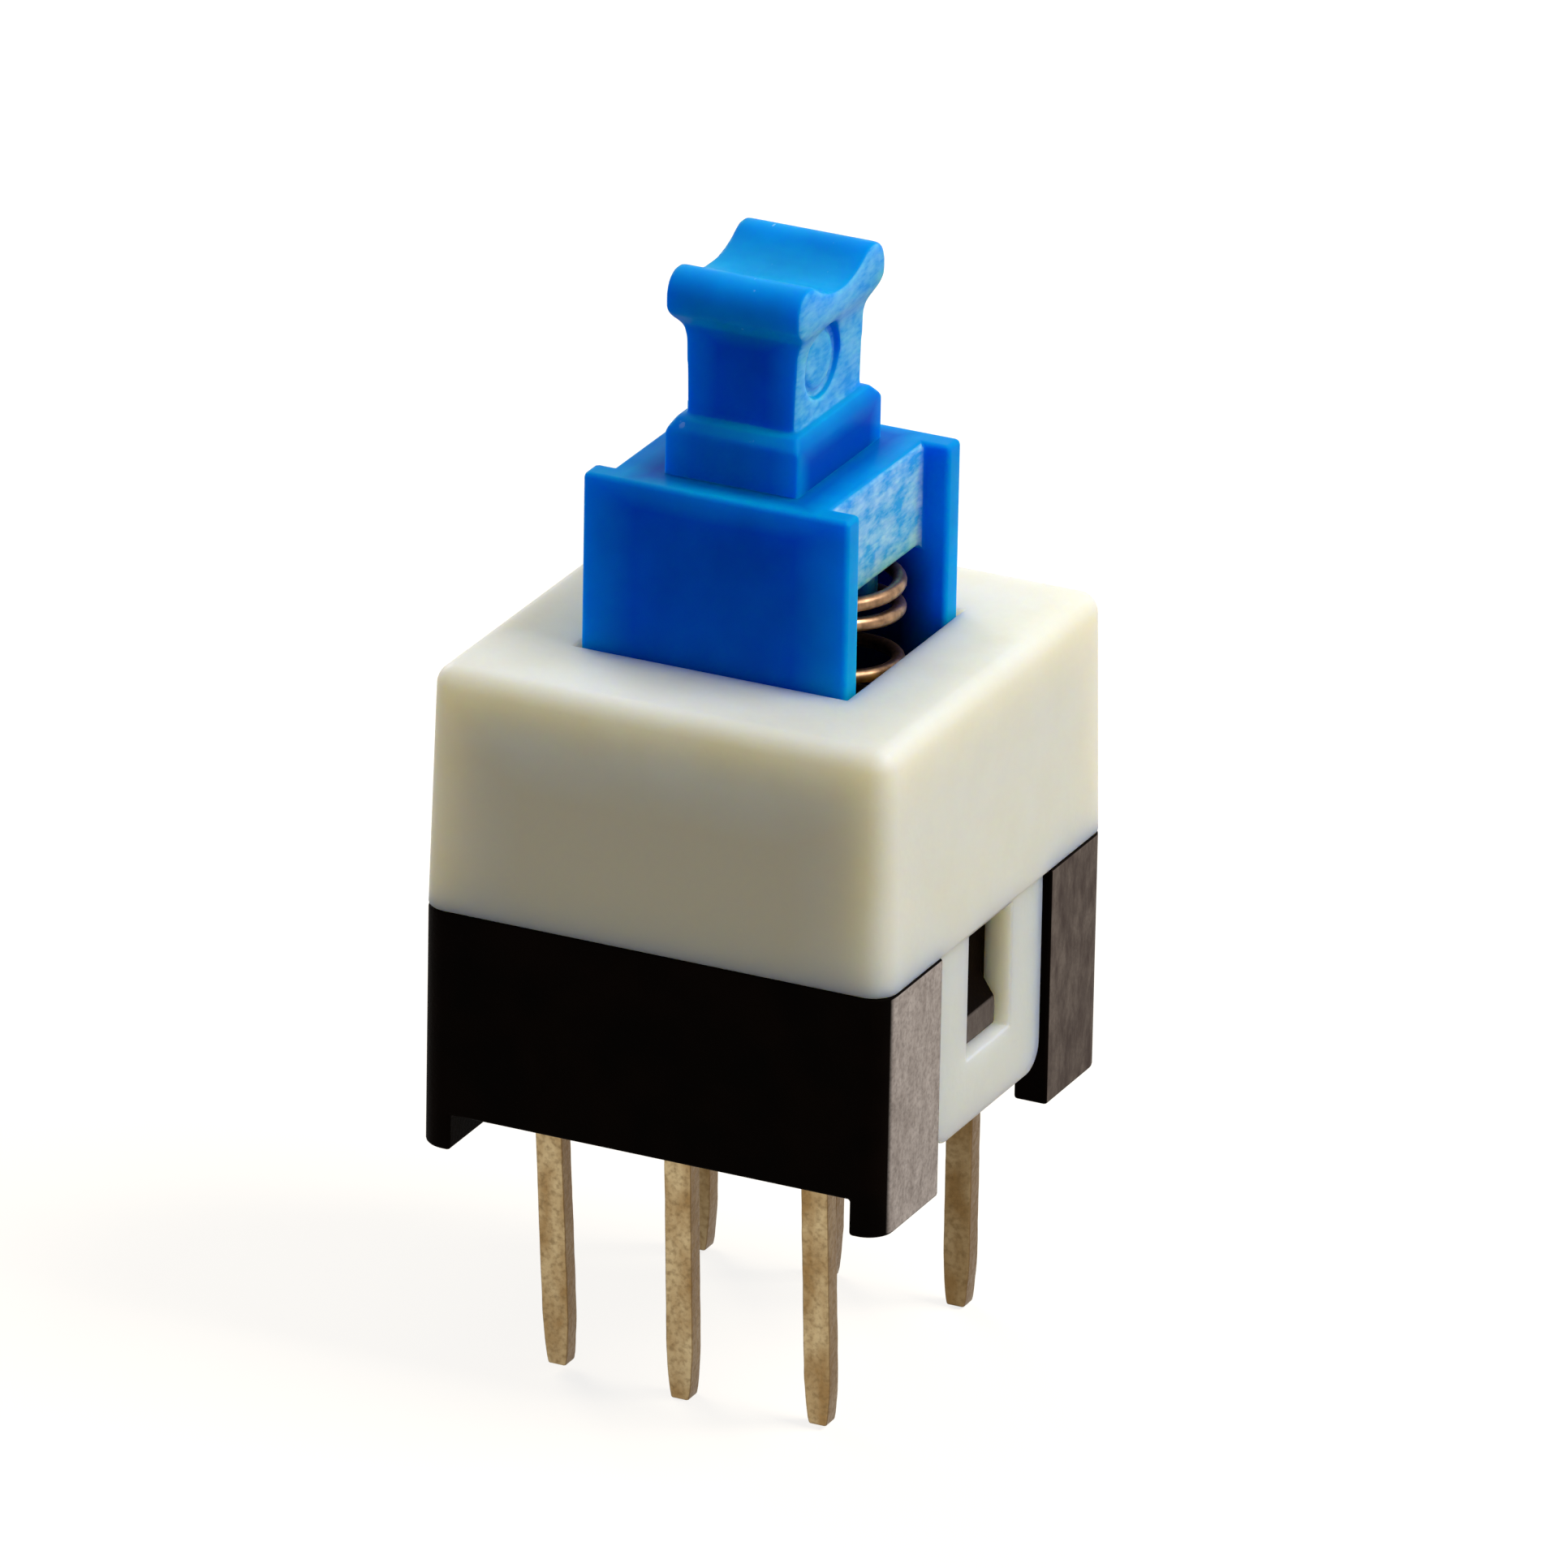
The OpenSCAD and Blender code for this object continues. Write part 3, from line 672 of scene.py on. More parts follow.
def skin():
    """The outer form: upright corners that lean in to a rounded rim."""
    levels = [(PARTING, BODY_HALF, CORNER_R)]
    for k in range(RIM_STEPS + 1):
        angle = math.pi / 2 * k / RIM_STEPS
        inset = RIM_R * (1 - math.cos(angle))
        radius = max(RIM_R - inset, LEAST_R)
        level = BODY_TOP - RIM_R + RIM_R * math.sin(angle)
        levels.append((level, BODY_HALF - DRAFT - inset, radius))
    rings = []
    for level, half, radius in levels:
        rings.append([Vector((*point, level)) for point in outline(rectangle(half, half, radius))])
    return loft(rings)


WINDOW_LOW = 1.57
WINDOW_HIGH = 3.4
TAB_CORNER_R = 0.4
HOUSING_EDGE = 0.038
OPENING_GAP = 0.06
TAB_ROOT = PARTING + 0.3


def snap_tab(side):
    """One tab, a plate with rounded lower corners."""
    half = BAY_Y - FIT
    corners = [(-half, TAB_LOW, TAB_CORNER_R), (half, TAB_LOW, TAB_CORNER_R),
               (half, TAB_ROOT), (-half, TAB_ROOT)]
    low, high = sorted((side * TAB_IN, side * TAB_OUT))
    return prism("x", low, high, outline(corners))


def build_housing():
    inner = BODY_HALF - WALL
    open_x = BLOCK_HALF_X + OPENING_GAP
    open_y = BLOCK_HALF_Y + OPENING_GAP
    piece = cut(
        skin(),
        block((-inner, -inner, PARTING - BEYOND), (inner, inner, BODY_TOP - ROOF)),
        block((-open_x, -open_y, BODY_TOP - ROOF - BEYOND), (open_x, open_y, BODY_TOP + BEYOND)),
    )
    join(piece, snap_tab(-1), snap_tab(1))
    for side in (-1, 1):
        low, high = sorted((side * (TAB_IN - OVERLAP), side * (TAB_OUT + OVERLAP)))
        cut(piece, block((low, -WINDOW_Y, WINDOW_LOW), (high, WINDOW_Y, WINDOW_HIGH)))
    finish(soften(piece, HOUSING_EDGE), "housing_shell", NYLON, "housing_plastic", "body", ["housing"])


build_housing()

# %% [markdown]
# ## Base
# The base is a tray with a bay on each side for a tab of the housing, four corner feet that
# keep it off the board, two walls that carry the terminals, and a wedge in each bay that
# the window snaps over. The plan is pulled up, the space between the feet and the tray are
# cut from it, and the wedges and the boss of the spring are joined on. The slots that hold
# the terminals and the hole that the latch turns in are in the CAD base only: here the metal
# runs into plain plastic, out of sight.

# %% Base
FOOT_T = 0.5
SIDE_WALL = 0.5
UPSTAND_HALF = BODY_HALF - WALL - FIT
WEDGE_OUT = 0.25
WEDGE_Y = WINDOW_Y - 0.06
WEDGE_LOW = WINDOW_LOW + FIT / 2
WEDGE_FACE = 0.4
WEDGE_RAMP = 0.38
BOSS_R = 0.95
BOSS_H = 0.7


def base_plan():
    """Outline of the base with its two bays."""
    corners = []
    for side, turn in ((1, 1), (-1, -1)):
        corners += [
            (side * BODY_HALF, -turn * BODY_HALF, CORNER_R),
            (side * BODY_HALF, -turn * BAY_Y), (side * BAY_X, -turn * BAY_Y),
            (side * BAY_X, turn * BAY_Y), (side * BODY_HALF, turn * BAY_Y),
            (side * BODY_HALF, turn * BODY_HALF, CORNER_R),
        ]
    return outline(corners)


def under_feet():
    """The cross-shaped space under the floor that leaves the four feet."""
    far = BODY_HALF + BEYOND
    inner = BODY_HALF - FOOT_T
    corners = []
    for a, b in ((1, -1), (1, 1), (-1, 1), (-1, -1)):
        arm = [(a * inner, b * far), (a * inner, b * BAY_Y), (a * far, b * BAY_Y)]
        corners += arm if a != b else arm[::-1]
    return prism("z", -BEYOND, FLOOR_LOW, corners)


def snap_wedge(side):
    """The wedge in one bay: it ramps out downwards and ends in a flat ledge."""
    corners = [(side * (BAY_X - OVERLAP), WEDGE_LOW), (side * (BAY_X + WEDGE_OUT), WEDGE_LOW),
               (side * (BAY_X + WEDGE_OUT), WEDGE_LOW + WEDGE_FACE),
               (side * BAY_X, WEDGE_LOW + WEDGE_FACE + WEDGE_RAMP),
               (side * (BAY_X - OVERLAP), WEDGE_LOW + WEDGE_FACE + WEDGE_RAMP)]
    return prism("y", -WEDGE_Y, WEDGE_Y, corners)


def build_base():
    far = BODY_HALF + BEYOND
    piece = join(prism("z", 0, PARTING, base_plan()),
                 block((-UPSTAND_HALF, -UPSTAND_HALF, PARTING - BEYOND),
                       (UPSTAND_HALF, UPSTAND_HALF, UPSTAND_TOP)))
    cut(piece,
        under_feet(),
        block((-far, -FACE_Y, PARTING), (far, FACE_Y, UPSTAND_TOP + BEYOND)),
        block((SIDE_WALL - BAY_X, -FACE_Y, FLOOR_TOP), (BAY_X - SIDE_WALL, FACE_Y, PARTING + BEYOND)))
    join(piece, snap_wedge(-1), snap_wedge(1),
         prism("z", FLOOR_TOP - SINK, FLOOR_TOP + BOSS_H, circle(SPRING_X, 0, BOSS_R)))
    finish(soften(piece), "base_tray", BASE_PLASTIC, "base_plastic", "body", ["base"])


build_base()

# %% [markdown]
# ## Button
# The button is one moulding: a hollow block with a plate at the front and the rear, lips at
# its foot that the roof of the housing stops, and a slender stalk with a collar, a neck and
# a head whose two lobes hold a cap. The stalk is the intersection of two outlines, one seen
# from the side and one from the front, which is how its mould closes on it. Its edges are
# much rounder than those of the block, so it is laid on an even grid of small cells and
# smoothed, and is joined to the block after that. The heart-shaped loop on the latch side is
# five straight grooves with round ends. It and the pockets of the moving contacts are cut
# after the bevel, so that their edges stay sharp.

# %% The stalk
HEAD_H = HEAD_TOP - NECK_TOP
NECK_HALF = (0.8, 1.03)
HEAD_HALF = (1.0, 1.34)
COLLAR_BEVEL = 0.16
LEDGE = 0.1
NECK_FLARE = 0.04
LOBE_R = 0.35
SADDLE = 0.3
SIDE_RADII = (0.2, 0.15)
FRONT_RADII = (0.6, 0.4)


def arc(a, b, radius, start, end):
    """Points of an arc around (a, b), its angles in degrees."""
    parts = max(2, round(abs(math.radians(end - start)) / ARC_STEP))
    angles = [math.radians(start + (end - start) * k / parts) for k in range(parts + 1)]
    return [Vector((a + radius * math.cos(t), b + radius * math.sin(t))) for t in angles]


def side_outline():
    """The stalk seen from the side, as (Y, Z), with a saddle that flows into the lobes."""
    collar, neck, head = COLLAR_HALF[1], NECK_HALF[1], HEAD_HALF[1]
    lobe = head - LOBE_R
    saddle_r = (lobe ** 2 + SADDLE ** 2) / (2 * SADDLE) - LOBE_R
    saddle_z = HEAD_TOP - SADDLE + saddle_r
    lean = math.degrees(math.asin(lobe / (saddle_r + LOBE_R)))
    right = [
        (collar, SHOULDER - SINK), (collar, COLLAR_TOP - COLLAR_BEVEL),
        (collar - COLLAR_BEVEL, COLLAR_TOP), (neck, COLLAR_TOP),
        (neck, NECK_TOP, SIDE_RADII[0]), (head, NECK_TOP + HEAD_H / 3, SIDE_RADII[1]),
    ]
    right += arc(lobe, HEAD_TOP - LOBE_R, LOBE_R, 0, 90 + lean)
    saddle = arc(0, saddle_z, saddle_r, lean - 90, -lean - 90)[1:-1]
    left = [(-a, *rest) for a, *rest in reversed(right)]
    return outline(right + saddle + left)


def front_outline():
    """The stalk seen from the front, as (X, Z): the neck widens a little into the head."""
    collar, neck, head = COLLAR_HALF[0], NECK_HALF[0], HEAD_HALF[0]
    right = [
        (collar, SHOULDER - SINK), (collar, COLLAR_TOP - COLLAR_BEVEL),
        (collar - LEDGE, COLLAR_TOP), (neck, COLLAR_TOP),
        (neck + NECK_FLARE, NECK_TOP - 0.1, FRONT_RADII[0]),
        (head, NECK_TOP + HEAD_H / 4, FRONT_RADII[1]), (head, HEAD_TOP + BEYOND),
    ]
    return outline(right + [(-a, *rest) for a, *rest in reversed(right)])


DIMPLE = (-0.2, COLLAR_TOP + 0.79)
DIMPLE_R = 0.53
DIMPLE_DEPTH = 0.14
DIMPLE_RING = 0.12
VOXEL = 0.025
SMOOTH_ROUNDS = 30
FACES_KEPT = 0.35


def build_stalk():
    """Collar, neck and head, with every edge worn round."""
    far = BLOCK_HALF_X
    stalk = prism("x", -far, far, side_outline())
    combine(stalk, [prism("y", -far, far, front_outline())], "INTERSECT")
    face = NECK_HALF[0] + NECK_FLARE
    cut(stalk, prism("x", face - DIMPLE_DEPTH, far, circle(*DIMPLE, DIMPLE_R)))
    join(stalk, prism("x", 0, face - DIMPLE_DEPTH / 2, circle(*DIMPLE, DIMPLE_R - DIMPLE_RING)))
    grid = stalk.modifiers.new("even grid", "REMESH")
    grid.mode = "VOXEL"
    grid.voxel_size = VOXEL
    smooth = stalk.modifiers.new("round edges", "SMOOTH")
    smooth.iterations = SMOOTH_ROUNDS
    fewer = stalk.modifiers.new("fewer faces", "DECIMATE")
    fewer.ratio = FACES_KEPT
    return bake(stalk)


# %% The block
CORE_SPRING_X = 1.58
CORE_LATCH_X = -1.7
LIP_TOP = BODY_TOP - ROOF - 0.02
BLOCK_EDGE = 0.08
STUB_R = 0.85
STUB_H = 0.4
TRACK_W = 0.4
TRACK_DEPTH = 0.4
TRACK_STEP = 0.05
TRACK_STEPS = (0, 1, 2, 1, 0)
CUT_OUT = 0.5
TRAVEL = 2.3
LOCK_TRAVEL = 1.5
SWING = math.radians(13.3)
STRIP_HALF = (1.61, 0.51)
FINGER_Z = BUTTON_BOTTOM + 0.5
POCKET_Y = FACE_Y - 0.32


def groove(start, end, depth):
    """A straight stretch of the latch track, with round ends, as (Y, Z)."""
    run = Vector(end) - Vector(start)
    angle = math.degrees(math.atan2(run.y, run.x))
    points = arc(*end, TRACK_W / 2, angle - 90, angle + 90)
    points += arc(*start, TRACK_W / 2, angle + 90, angle + 270)
    return prism("x", CORE_LATCH_X - CUT_OUT, CORE_LATCH_X + depth, points)


def latch_track():
    """The loop that the end of the latch wire runs round."""
    pivot_z = wire_low.z + WIRE_D / 2
    tip_z = wire_high.z - WIRE_D / 2
    out = (tip_z - pivot_z) * math.sin(SWING)
    low_z = tip_z + TRAVEL - (tip_z - pivot_z) * (1 - math.cos(SWING))
    stops = [(0, tip_z), (-out, low_z), (0, tip_z + LOCK_TRAVEL), (0.8 * out, low_z),
             (0.9 * out, tip_z + 0.6 * LOCK_TRAVEL)]
    ends = stops[1:] + stops[:1]
    return [groove(start, end, TRACK_DEPTH + step * TRACK_STEP)
            for start, end, step in zip(stops, ends, TRACK_STEPS)]


def build_button():
    far = BLOCK_HALF_X + BEYOND
    plate = BLOCK_HALF_Y - PLATE_T
    low = BUTTON_BOTTOM - BEYOND
    piece = block((-BLOCK_HALF_X, -BLOCK_HALF_Y, BUTTON_BOTTOM),
                  (BLOCK_HALF_X, BLOCK_HALF_Y, SHOULDER))
    join(piece, block((-BLOCK_HALF_X, -LIP_Y, BUTTON_BOTTOM), (BLOCK_HALF_X, LIP_Y, LIP_TOP)))
    cut(piece,
        prism("z", low, SPRING_SEAT, circle(SPRING_X, 0, plate)),
        block((SPRING_X, -plate, low), (far, plate, SPRING_SEAT)),
        block((CORE_SPRING_X, -plate, SPRING_SEAT - BEYOND), (far, plate, SHOULDER + BEYOND)),
        block((-far, -plate, low), (CORE_LATCH_X, plate, SHOULDER + BEYOND)))
    soften(piece, BLOCK_EDGE)
    cut(piece, *latch_track())
    for side in (-1, 1):
        first, last = sorted((side * POCKET_Y, side * (LIP_Y + BEYOND)))
        cut(piece, block((-STRIP_HALF[0], first, FINGER_Z - STRIP_HALF[1]),
                         (STRIP_HALF[0], last, FINGER_Z + STRIP_HALF[1])))
    join(piece, prism("z", SPRING_SEAT - STUB_H, SPRING_SEAT + OVERLAP, circle(SPRING_X, 0, STUB_R)))
    join(piece, build_stalk())
    finish(piece, "button_moulding", BLUE, "button_plastic", "button", ["plunger"])


build_button()

# %% [markdown]
# ## Geometry Nodes
# What follows a path or repeats is left to Geometry Nodes: the six pins, the spring and the
# latch wire. A small class opens a tree, adds its named inputs and, at the end, turns the
# result into a plain mesh. An input is set by its identifier before the first evaluation.

# %% A tree with named inputs
class Tree:
    """A Geometry Nodes tree. Sizes are in millimetres."""

    def __init__(self, name):
        self.tree = bpy.data.node_groups.new(name, "GeometryNodeTree")
        self.tree.interface.new_socket("Geometry", in_out="OUTPUT", socket_type="NodeSocketGeometry")
        self.names = {}
        self.inputs = add(self.tree, "NodeGroupInput")

    def input(self, name, kind="Float"):
        """Adds a named input and returns its output socket inside the tree."""
        socket = self.tree.interface.new_socket(name, in_out="INPUT", socket_type="NodeSocket" + kind)
        self.names[name] = socket.identifier
        return self.inputs.outputs[name]

    def math(self, operation, *values):
        """One step of arithmetic."""
        return calculate(self.tree, operation, *values)

    def vector(self, x=0.0, y=0.0, z=0.0):
        """Three numbers as one vector."""
        return add(self.tree, "ShaderNodeCombineXYZ", {"X": x, "Y": y, "Z": z}).outputs["Vector"]

    def move(self, geometry, by):
        """The geometry moved by a vector."""
        return add(self.tree, "GeometryNodeTransform", {
            "Geometry": geometry, "Translation": by,
        }).outputs["Geometry"]

    def sweep(self, curve, wire, sides):
        """A closed tube of a wire diameter along a curve."""
        ring = add(self.tree, "GeometryNodeCurvePrimitiveCircle", {
            "Resolution": sides, "Radius": self.math("MULTIPLY", wire, 0.5),
        }).outputs["Curve"]
        return add(self.tree, "GeometryNodeCurveToMesh", {
            "Curve": curve, "Profile Curve": ring, "Fill Caps": True,
        }).outputs["Mesh"]

    def end(self, geometry, material):
        """Realize Instances and Set Material, because an export drops instances."""
        real = add(self.tree, "GeometryNodeRealizeInstances", {"Geometry": geometry})
        done = add(self.tree, "GeometryNodeSetMaterial", {
            "Geometry": real.outputs["Geometry"], "Material": material,
        })
        add(self.tree, "NodeGroupOutput", {"Geometry": done.outputs["Geometry"]})

    def object(self, name, sizes):
        """An object that carries the tree, with its inputs set."""
        piece = bpy.data.objects.new(name, bpy.data.meshes.new(name))
        bpy.context.scene.collection.objects.link(piece)
        modifier = piece.modifiers.new("shape", "NODES")
        modifier.node_group = self.tree
        for key, value in sizes.items():
            modifier[self.names[key]] = value
        return piece


# %% [markdown]
# ## Terminals
# Each terminal is stamped from strip: a straight pin with a nosed end, and above the floor a
# wider face that the moving contact touches. One tree makes all six, from different sizes.
# The shearing leaves the long edges a little uneven, and some pins stand slightly bent, so
# the tree also takes a lean and an unevenness. Both fade out inside the floor, above which
# the metal is straight.

# %% The terminal tree
PIN_ROWS = 72
NOSE_POWER = 0.6
RIPPLES_PER_MM = 3.5
FADE_PER_MM = 2.0


def terminal_tree():
    t = Tree("terminal")
    width, thick = t.input("Width"), t.input("Thickness")
    bottom, top = t.input("Bottom"), t.input("Top")
    taper, tip = t.input("Taper"), t.input("Tip Share")
    root_shift, tip_shift = t.input("Root Shift"), t.input("Tip Shift")
    uneven, straight = t.input("Unevenness"), t.input("Straight Above")
    seed = t.input("Seed")
    face_from, face_to = t.input("Face From"), t.input("Face To")
    face_low, face_high = t.input("Face Low"), t.input("Face High")
    spot = t.input("Place", "Vector")

    length = t.math("SUBTRACT", top, bottom)
    pin = add(t.tree, "GeometryNodeMeshCube", {
        "Size": t.vector(width, thick, length), "Vertices X": 3, "Vertices Y": 2, "Vertices Z": PIN_ROWS,
    }).outputs["Mesh"]
    middle = t.math("MULTIPLY", t.math("ADD", top, bottom), 0.5)
    pin = t.move(pin, t.vector(z=middle))

    here = add(t.tree, "ShaderNodeSeparateXYZ", {
        "Vector": add(t.tree, "GeometryNodeInputPosition").outputs["Position"],
    }).outputs
    above = t.math("SUBTRACT", here["Z"], bottom)
    share = t.math("MINIMUM", t.math("DIVIDE", above, taper), 1.0)
    nose = t.math("POWER", t.math("MAXIMUM", share, 0.0), NOSE_POWER)
    factor = t.math("ADD", tip, t.math("MULTIPLY", nose, t.math("SUBTRACT", 1.0, tip)))
    hang = t.math("MINIMUM", here["Z"], 0.0)
    bend = t.math("MULTIPLY", t.math("DIVIDE", hang, bottom),
                  t.math("SUBTRACT", tip_shift, root_shift))
    shift = t.math("ADD", root_shift, bend)
    ripple = add(t.tree, "ShaderNodeTexNoise", {
        "Vector": t.vector(here["X"], seed, here["Z"]), "Scale": RIPPLES_PER_MM, "Detail": 2.0,
    }).outputs["Fac"]
    wave = t.math("MULTIPLY", t.math("SUBTRACT", ripple, 0.5), uneven)
    below = t.math("MULTIPLY", t.math("SUBTRACT", straight, here["Z"]), FADE_PER_MM)
    free = t.math("MINIMUM", t.math("MAXIMUM", below, 0.0), 1.0)
    aside = t.math("MULTIPLY", t.math("ADD", shift, wave), free)
    moved = t.math("ADD", t.math("MULTIPLY", here["X"], factor), aside)
    pin = add(t.tree, "GeometryNodeSetPosition", {
        "Geometry": pin, "Position": t.vector(moved, here["Y"], here["Z"]),
    }).outputs["Geometry"]

    face = add(t.tree, "GeometryNodeMeshCube", {
        "Size": t.vector(t.math("SUBTRACT", face_to, face_from), thick,
                         t.math("SUBTRACT", face_high, face_low)),
    }).outputs["Mesh"]
    face = t.move(face, t.vector(t.math("MULTIPLY", t.math("ADD", face_from, face_to), 0.5), 0.0,
                                 t.math("MULTIPLY", t.math("ADD", face_low, face_high), 0.5)))
    whole = add(t.tree, "GeometryNodeMeshBoolean", operation="UNION", solver="EXACT")
    t.tree.links.new(pin, whole.inputs["Mesh 2"])
    t.tree.links.new(face, whole.inputs["Mesh 2"])
    t.end(t.move(whole.outputs["Mesh"], spot), PLATED)
    return t


# %% The six terminals
PIN_W = 0.4
PIN_TAPER = 0.7
TIP_SHARE = 0.66
PIN_EDGE = 0.03
UNEVEN = 0.018
STRAIGHT_ABOVE = FLOOR_TOP - 0.2
TOP_SHORT = 0.02
SEED_STEP = 3.0
# For each pin in mm: how far its root and its tip stand aside, and how much shorter it is.
SHIFTS = {
    "terminal_front_left": (-0.05, 0.13, 0.12), "terminal_front_center": (-0.10, 0.0, 0.0),
    "terminal_front_right": (-0.04, 0.08, 0.06), "terminal_rear_left": (0.0, 0.05, 0.05),
    "terminal_rear_center": (0.0, -0.03, 0.0), "terminal_rear_right": (0.01, 0.02, 0.03),
}
terminal_maker = terminal_tree()


def build_terminal(node, shifts, seed):
    """One terminal, its pin axis and its contact face read from the box of its CAD node."""
    low, high = box_mm(node)
    column = node.split("_")[2]
    axis = {"left": low.x + PIN_W / 2, "right": high.x - PIN_W / 2}.get(column, 0.0)
    face_low = {"left": FINGER_Z - LOCK_TRAVEL / 2}.get(column, FLOOR_TOP)
    root, tip, shorter = shifts
    piece = terminal_maker.object(node + "_stamping", {
        "Width": PIN_W, "Thickness": high.y - low.y, "Bottom": low.z + shorter,
        "Top": high.z - TOP_SHORT,
        "Taper": PIN_TAPER, "Tip Share": TIP_SHARE, "Unevenness": UNEVEN,
        "Root Shift": root, "Tip Shift": tip, "Straight Above": STRAIGHT_ABOVE,
        "Seed": seed, "Face From": low.x - axis, "Face To": high.x - axis,
        "Face Low": face_low, "Face High": high.z,
        "Place": (axis, (low.y + high.y) / 2, 0.0),
    })
    soften(bake(piece), PIN_EDGE, 2)
    finish(piece, node + "_stamping", PLATED, "terminal_metal", "body", [node])


for number, (node, shifts) in enumerate(SHIFTS.items()):
    build_terminal(node, shifts, SEED_STEP * number)

# %% [markdown]
# ## Return spring
# The spring is wound from stainless wire, with one closed turn at each end. Its path is a
# rule: the angle grows evenly, and the height grows by one wire per turn where it is closed
# and evenly in between. A line of points is bent to that rule and swept with a circle. It
# belongs to the body, not the button, so it stays where it is while the button goes down.

# %% The spring tree
SPRING_SIDES = 14


def spring_tree():
    t = Tree("coil_spring")
    wire, radius = t.input("Wire Diameter"), t.input("Mean Radius")
    turns, closed = t.input("Turns"), t.input("Closed Turns")
    length, steps = t.input("Length"), t.input("Steps", "Int")
    spot = t.input("Foot", "Vector")

    line = add(t.tree, "GeometryNodeMeshLine", {"Count": steps}).outputs["Mesh"]
    index = add(t.tree, "GeometryNodeInputIndex").outputs["Index"]
    turn = t.math("MULTIPLY", t.math("DIVIDE", index, t.math("SUBTRACT", steps, 1.0)), turns)
    last = t.math("SUBTRACT", turns, closed)
    rise = t.math("SUBTRACT", length, wire)
    open_turns = t.math("SUBTRACT", last, closed)
    lead = t.math("DIVIDE", t.math("SUBTRACT", rise, t.math(
        "MULTIPLY", t.math("MULTIPLY", closed, 2.0), wire)), open_turns)
    low_part = t.math("MULTIPLY", t.math("MINIMUM", turn, closed), wire)
    open_part = t.math("MAXIMUM", t.math("SUBTRACT", t.math("MINIMUM", turn, last), closed), 0.0)
    high_part = t.math("MULTIPLY", t.math("MAXIMUM", t.math("SUBTRACT", turn, last), 0.0), wire)
    height = t.math("ADD", t.math("ADD", low_part, t.math("MULTIPLY", open_part, lead)), high_part)
    angle = t.math("MULTIPLY", t.math("SUBTRACT", t.math("SUBTRACT", turns, turn), 0.25), math.tau)
    bent = add(t.tree, "GeometryNodeSetPosition", {
        "Geometry": line,
        "Position": t.vector(t.math("MULTIPLY", t.math("COSINE", angle), radius),
                             t.math("MULTIPLY", t.math("SINE", angle), radius),
                             t.math("ADD", height, t.math("MULTIPLY", wire, 0.5))),
    }).outputs["Geometry"]
    curve = add(t.tree, "GeometryNodeMeshToCurve", {"Mesh": bent}).outputs["Curve"]
    t.end(t.move(t.sweep(curve, wire, SPRING_SIDES), spot), SPRING_STEEL)
    return t


# %% The spring
SPRING_WIRE = 0.2
SPRING_TURNS = 10.0
SPRING_CLOSED = 1.0
STEPS_PER_TURN = 40


def smooth_tube(piece, name, material, slot, body, replaced):
    """Applies the tree of a swept wire and hands the piece to the frame."""
    mesh = evaluated(piece)
    piece.modifiers.clear()
    bm = bmesh.new()
    bm.from_mesh(mesh)
    bmesh.ops.recalc_face_normals(bm, faces=bm.faces)
    bm.to_mesh(mesh)
    bm.free()
    mesh.shade_smooth()
    place(piece, mesh, name, material, slot, body, replaced)


def build_spring():
    outer = (spring_high.x - spring_low.x) / 2
    piece = spring_tree().object("return_spring_coil", {
        "Wire Diameter": SPRING_WIRE, "Mean Radius": outer - SPRING_WIRE / 2,
        "Turns": SPRING_TURNS, "Closed Turns": SPRING_CLOSED,
        "Length": spring_high.z - spring_low.z, "Steps": int(SPRING_TURNS * STEPS_PER_TURN) + 1,
        "Foot": (SPRING_X, 0.0, spring_low.z),
    })
    smooth_tube(piece, "return_spring_coil", SPRING_STEEL, "spring_steel", "body", ["return_spring"])
    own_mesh(piece)


build_spring()

# %% [markdown]
# ## Latch wire
# The latch is a short wire with two bends: the lower leg turns in a hole of the base, and
# the upper leg runs in the loop of the button and holds it down. Four points and a fillet
# give its path.

# %% The latch wire
BEND_R = 0.25
BEND_PARTS = 8
WIRE_SIDES = 20
SHANK_GAP = 0.1


def wire_tree():
    t = Tree("bent_wire")
    thick, bend = t.input("Wire Diameter"), t.input("Bend Radius")
    lower, shank, upper = t.input("Lower End"), t.input("Shank"), t.input("Upper End")
    low, high = t.input("Lower Height"), t.input("Upper Height")
    index = add(t.tree, "GeometryNodeInputIndex").outputs["Index"]
    first = t.math("LESS_THAN", index, 0.5)
    last = t.math("GREATER_THAN", index, 2.5)
    raised = t.math("GREATER_THAN", index, 1.5)
    x = t.math("ADD", shank, t.math("ADD", t.math("MULTIPLY", first, t.math("SUBTRACT", lower, shank)),
                                    t.math("MULTIPLY", last, t.math("SUBTRACT", upper, shank))))
    z = t.math("ADD", low, t.math("MULTIPLY", raised, t.math("SUBTRACT", high, low)))
    line = add(t.tree, "GeometryNodeMeshLine", {"Count": 4}).outputs["Mesh"]
    bent = add(t.tree, "GeometryNodeSetPosition", {"Geometry": line, "Position": t.vector(x, 0.0, z)})
    path = add(t.tree, "GeometryNodeMeshToCurve", {"Mesh": bent.outputs["Geometry"]})
    path = add(t.tree, "GeometryNodeFilletCurve", {
        "Curve": path.outputs["Curve"], "Count": BEND_PARTS, "Radius": bend,
    }, mode="POLY")
    t.end(t.sweep(path.outputs["Curve"], thick, WIRE_SIDES), LATCH_STEEL)
    return t


def build_latch():
    half = WIRE_D / 2
    piece = wire_tree().object("latch_wire_bent", {
        "Wire Diameter": WIRE_D, "Bend Radius": BEND_R, "Lower End": wire_low.x,
        "Shank": CORE_LATCH_X - SHANK_GAP - half, "Upper End": wire_high.x,
        "Lower Height": wire_low.z + half, "Upper Height": wire_high.z - half,
    })
    smooth_tube(piece, "latch_wire_bent", LATCH_STEEL, "latch_steel", "latch", ["latch_pin"])


build_latch()

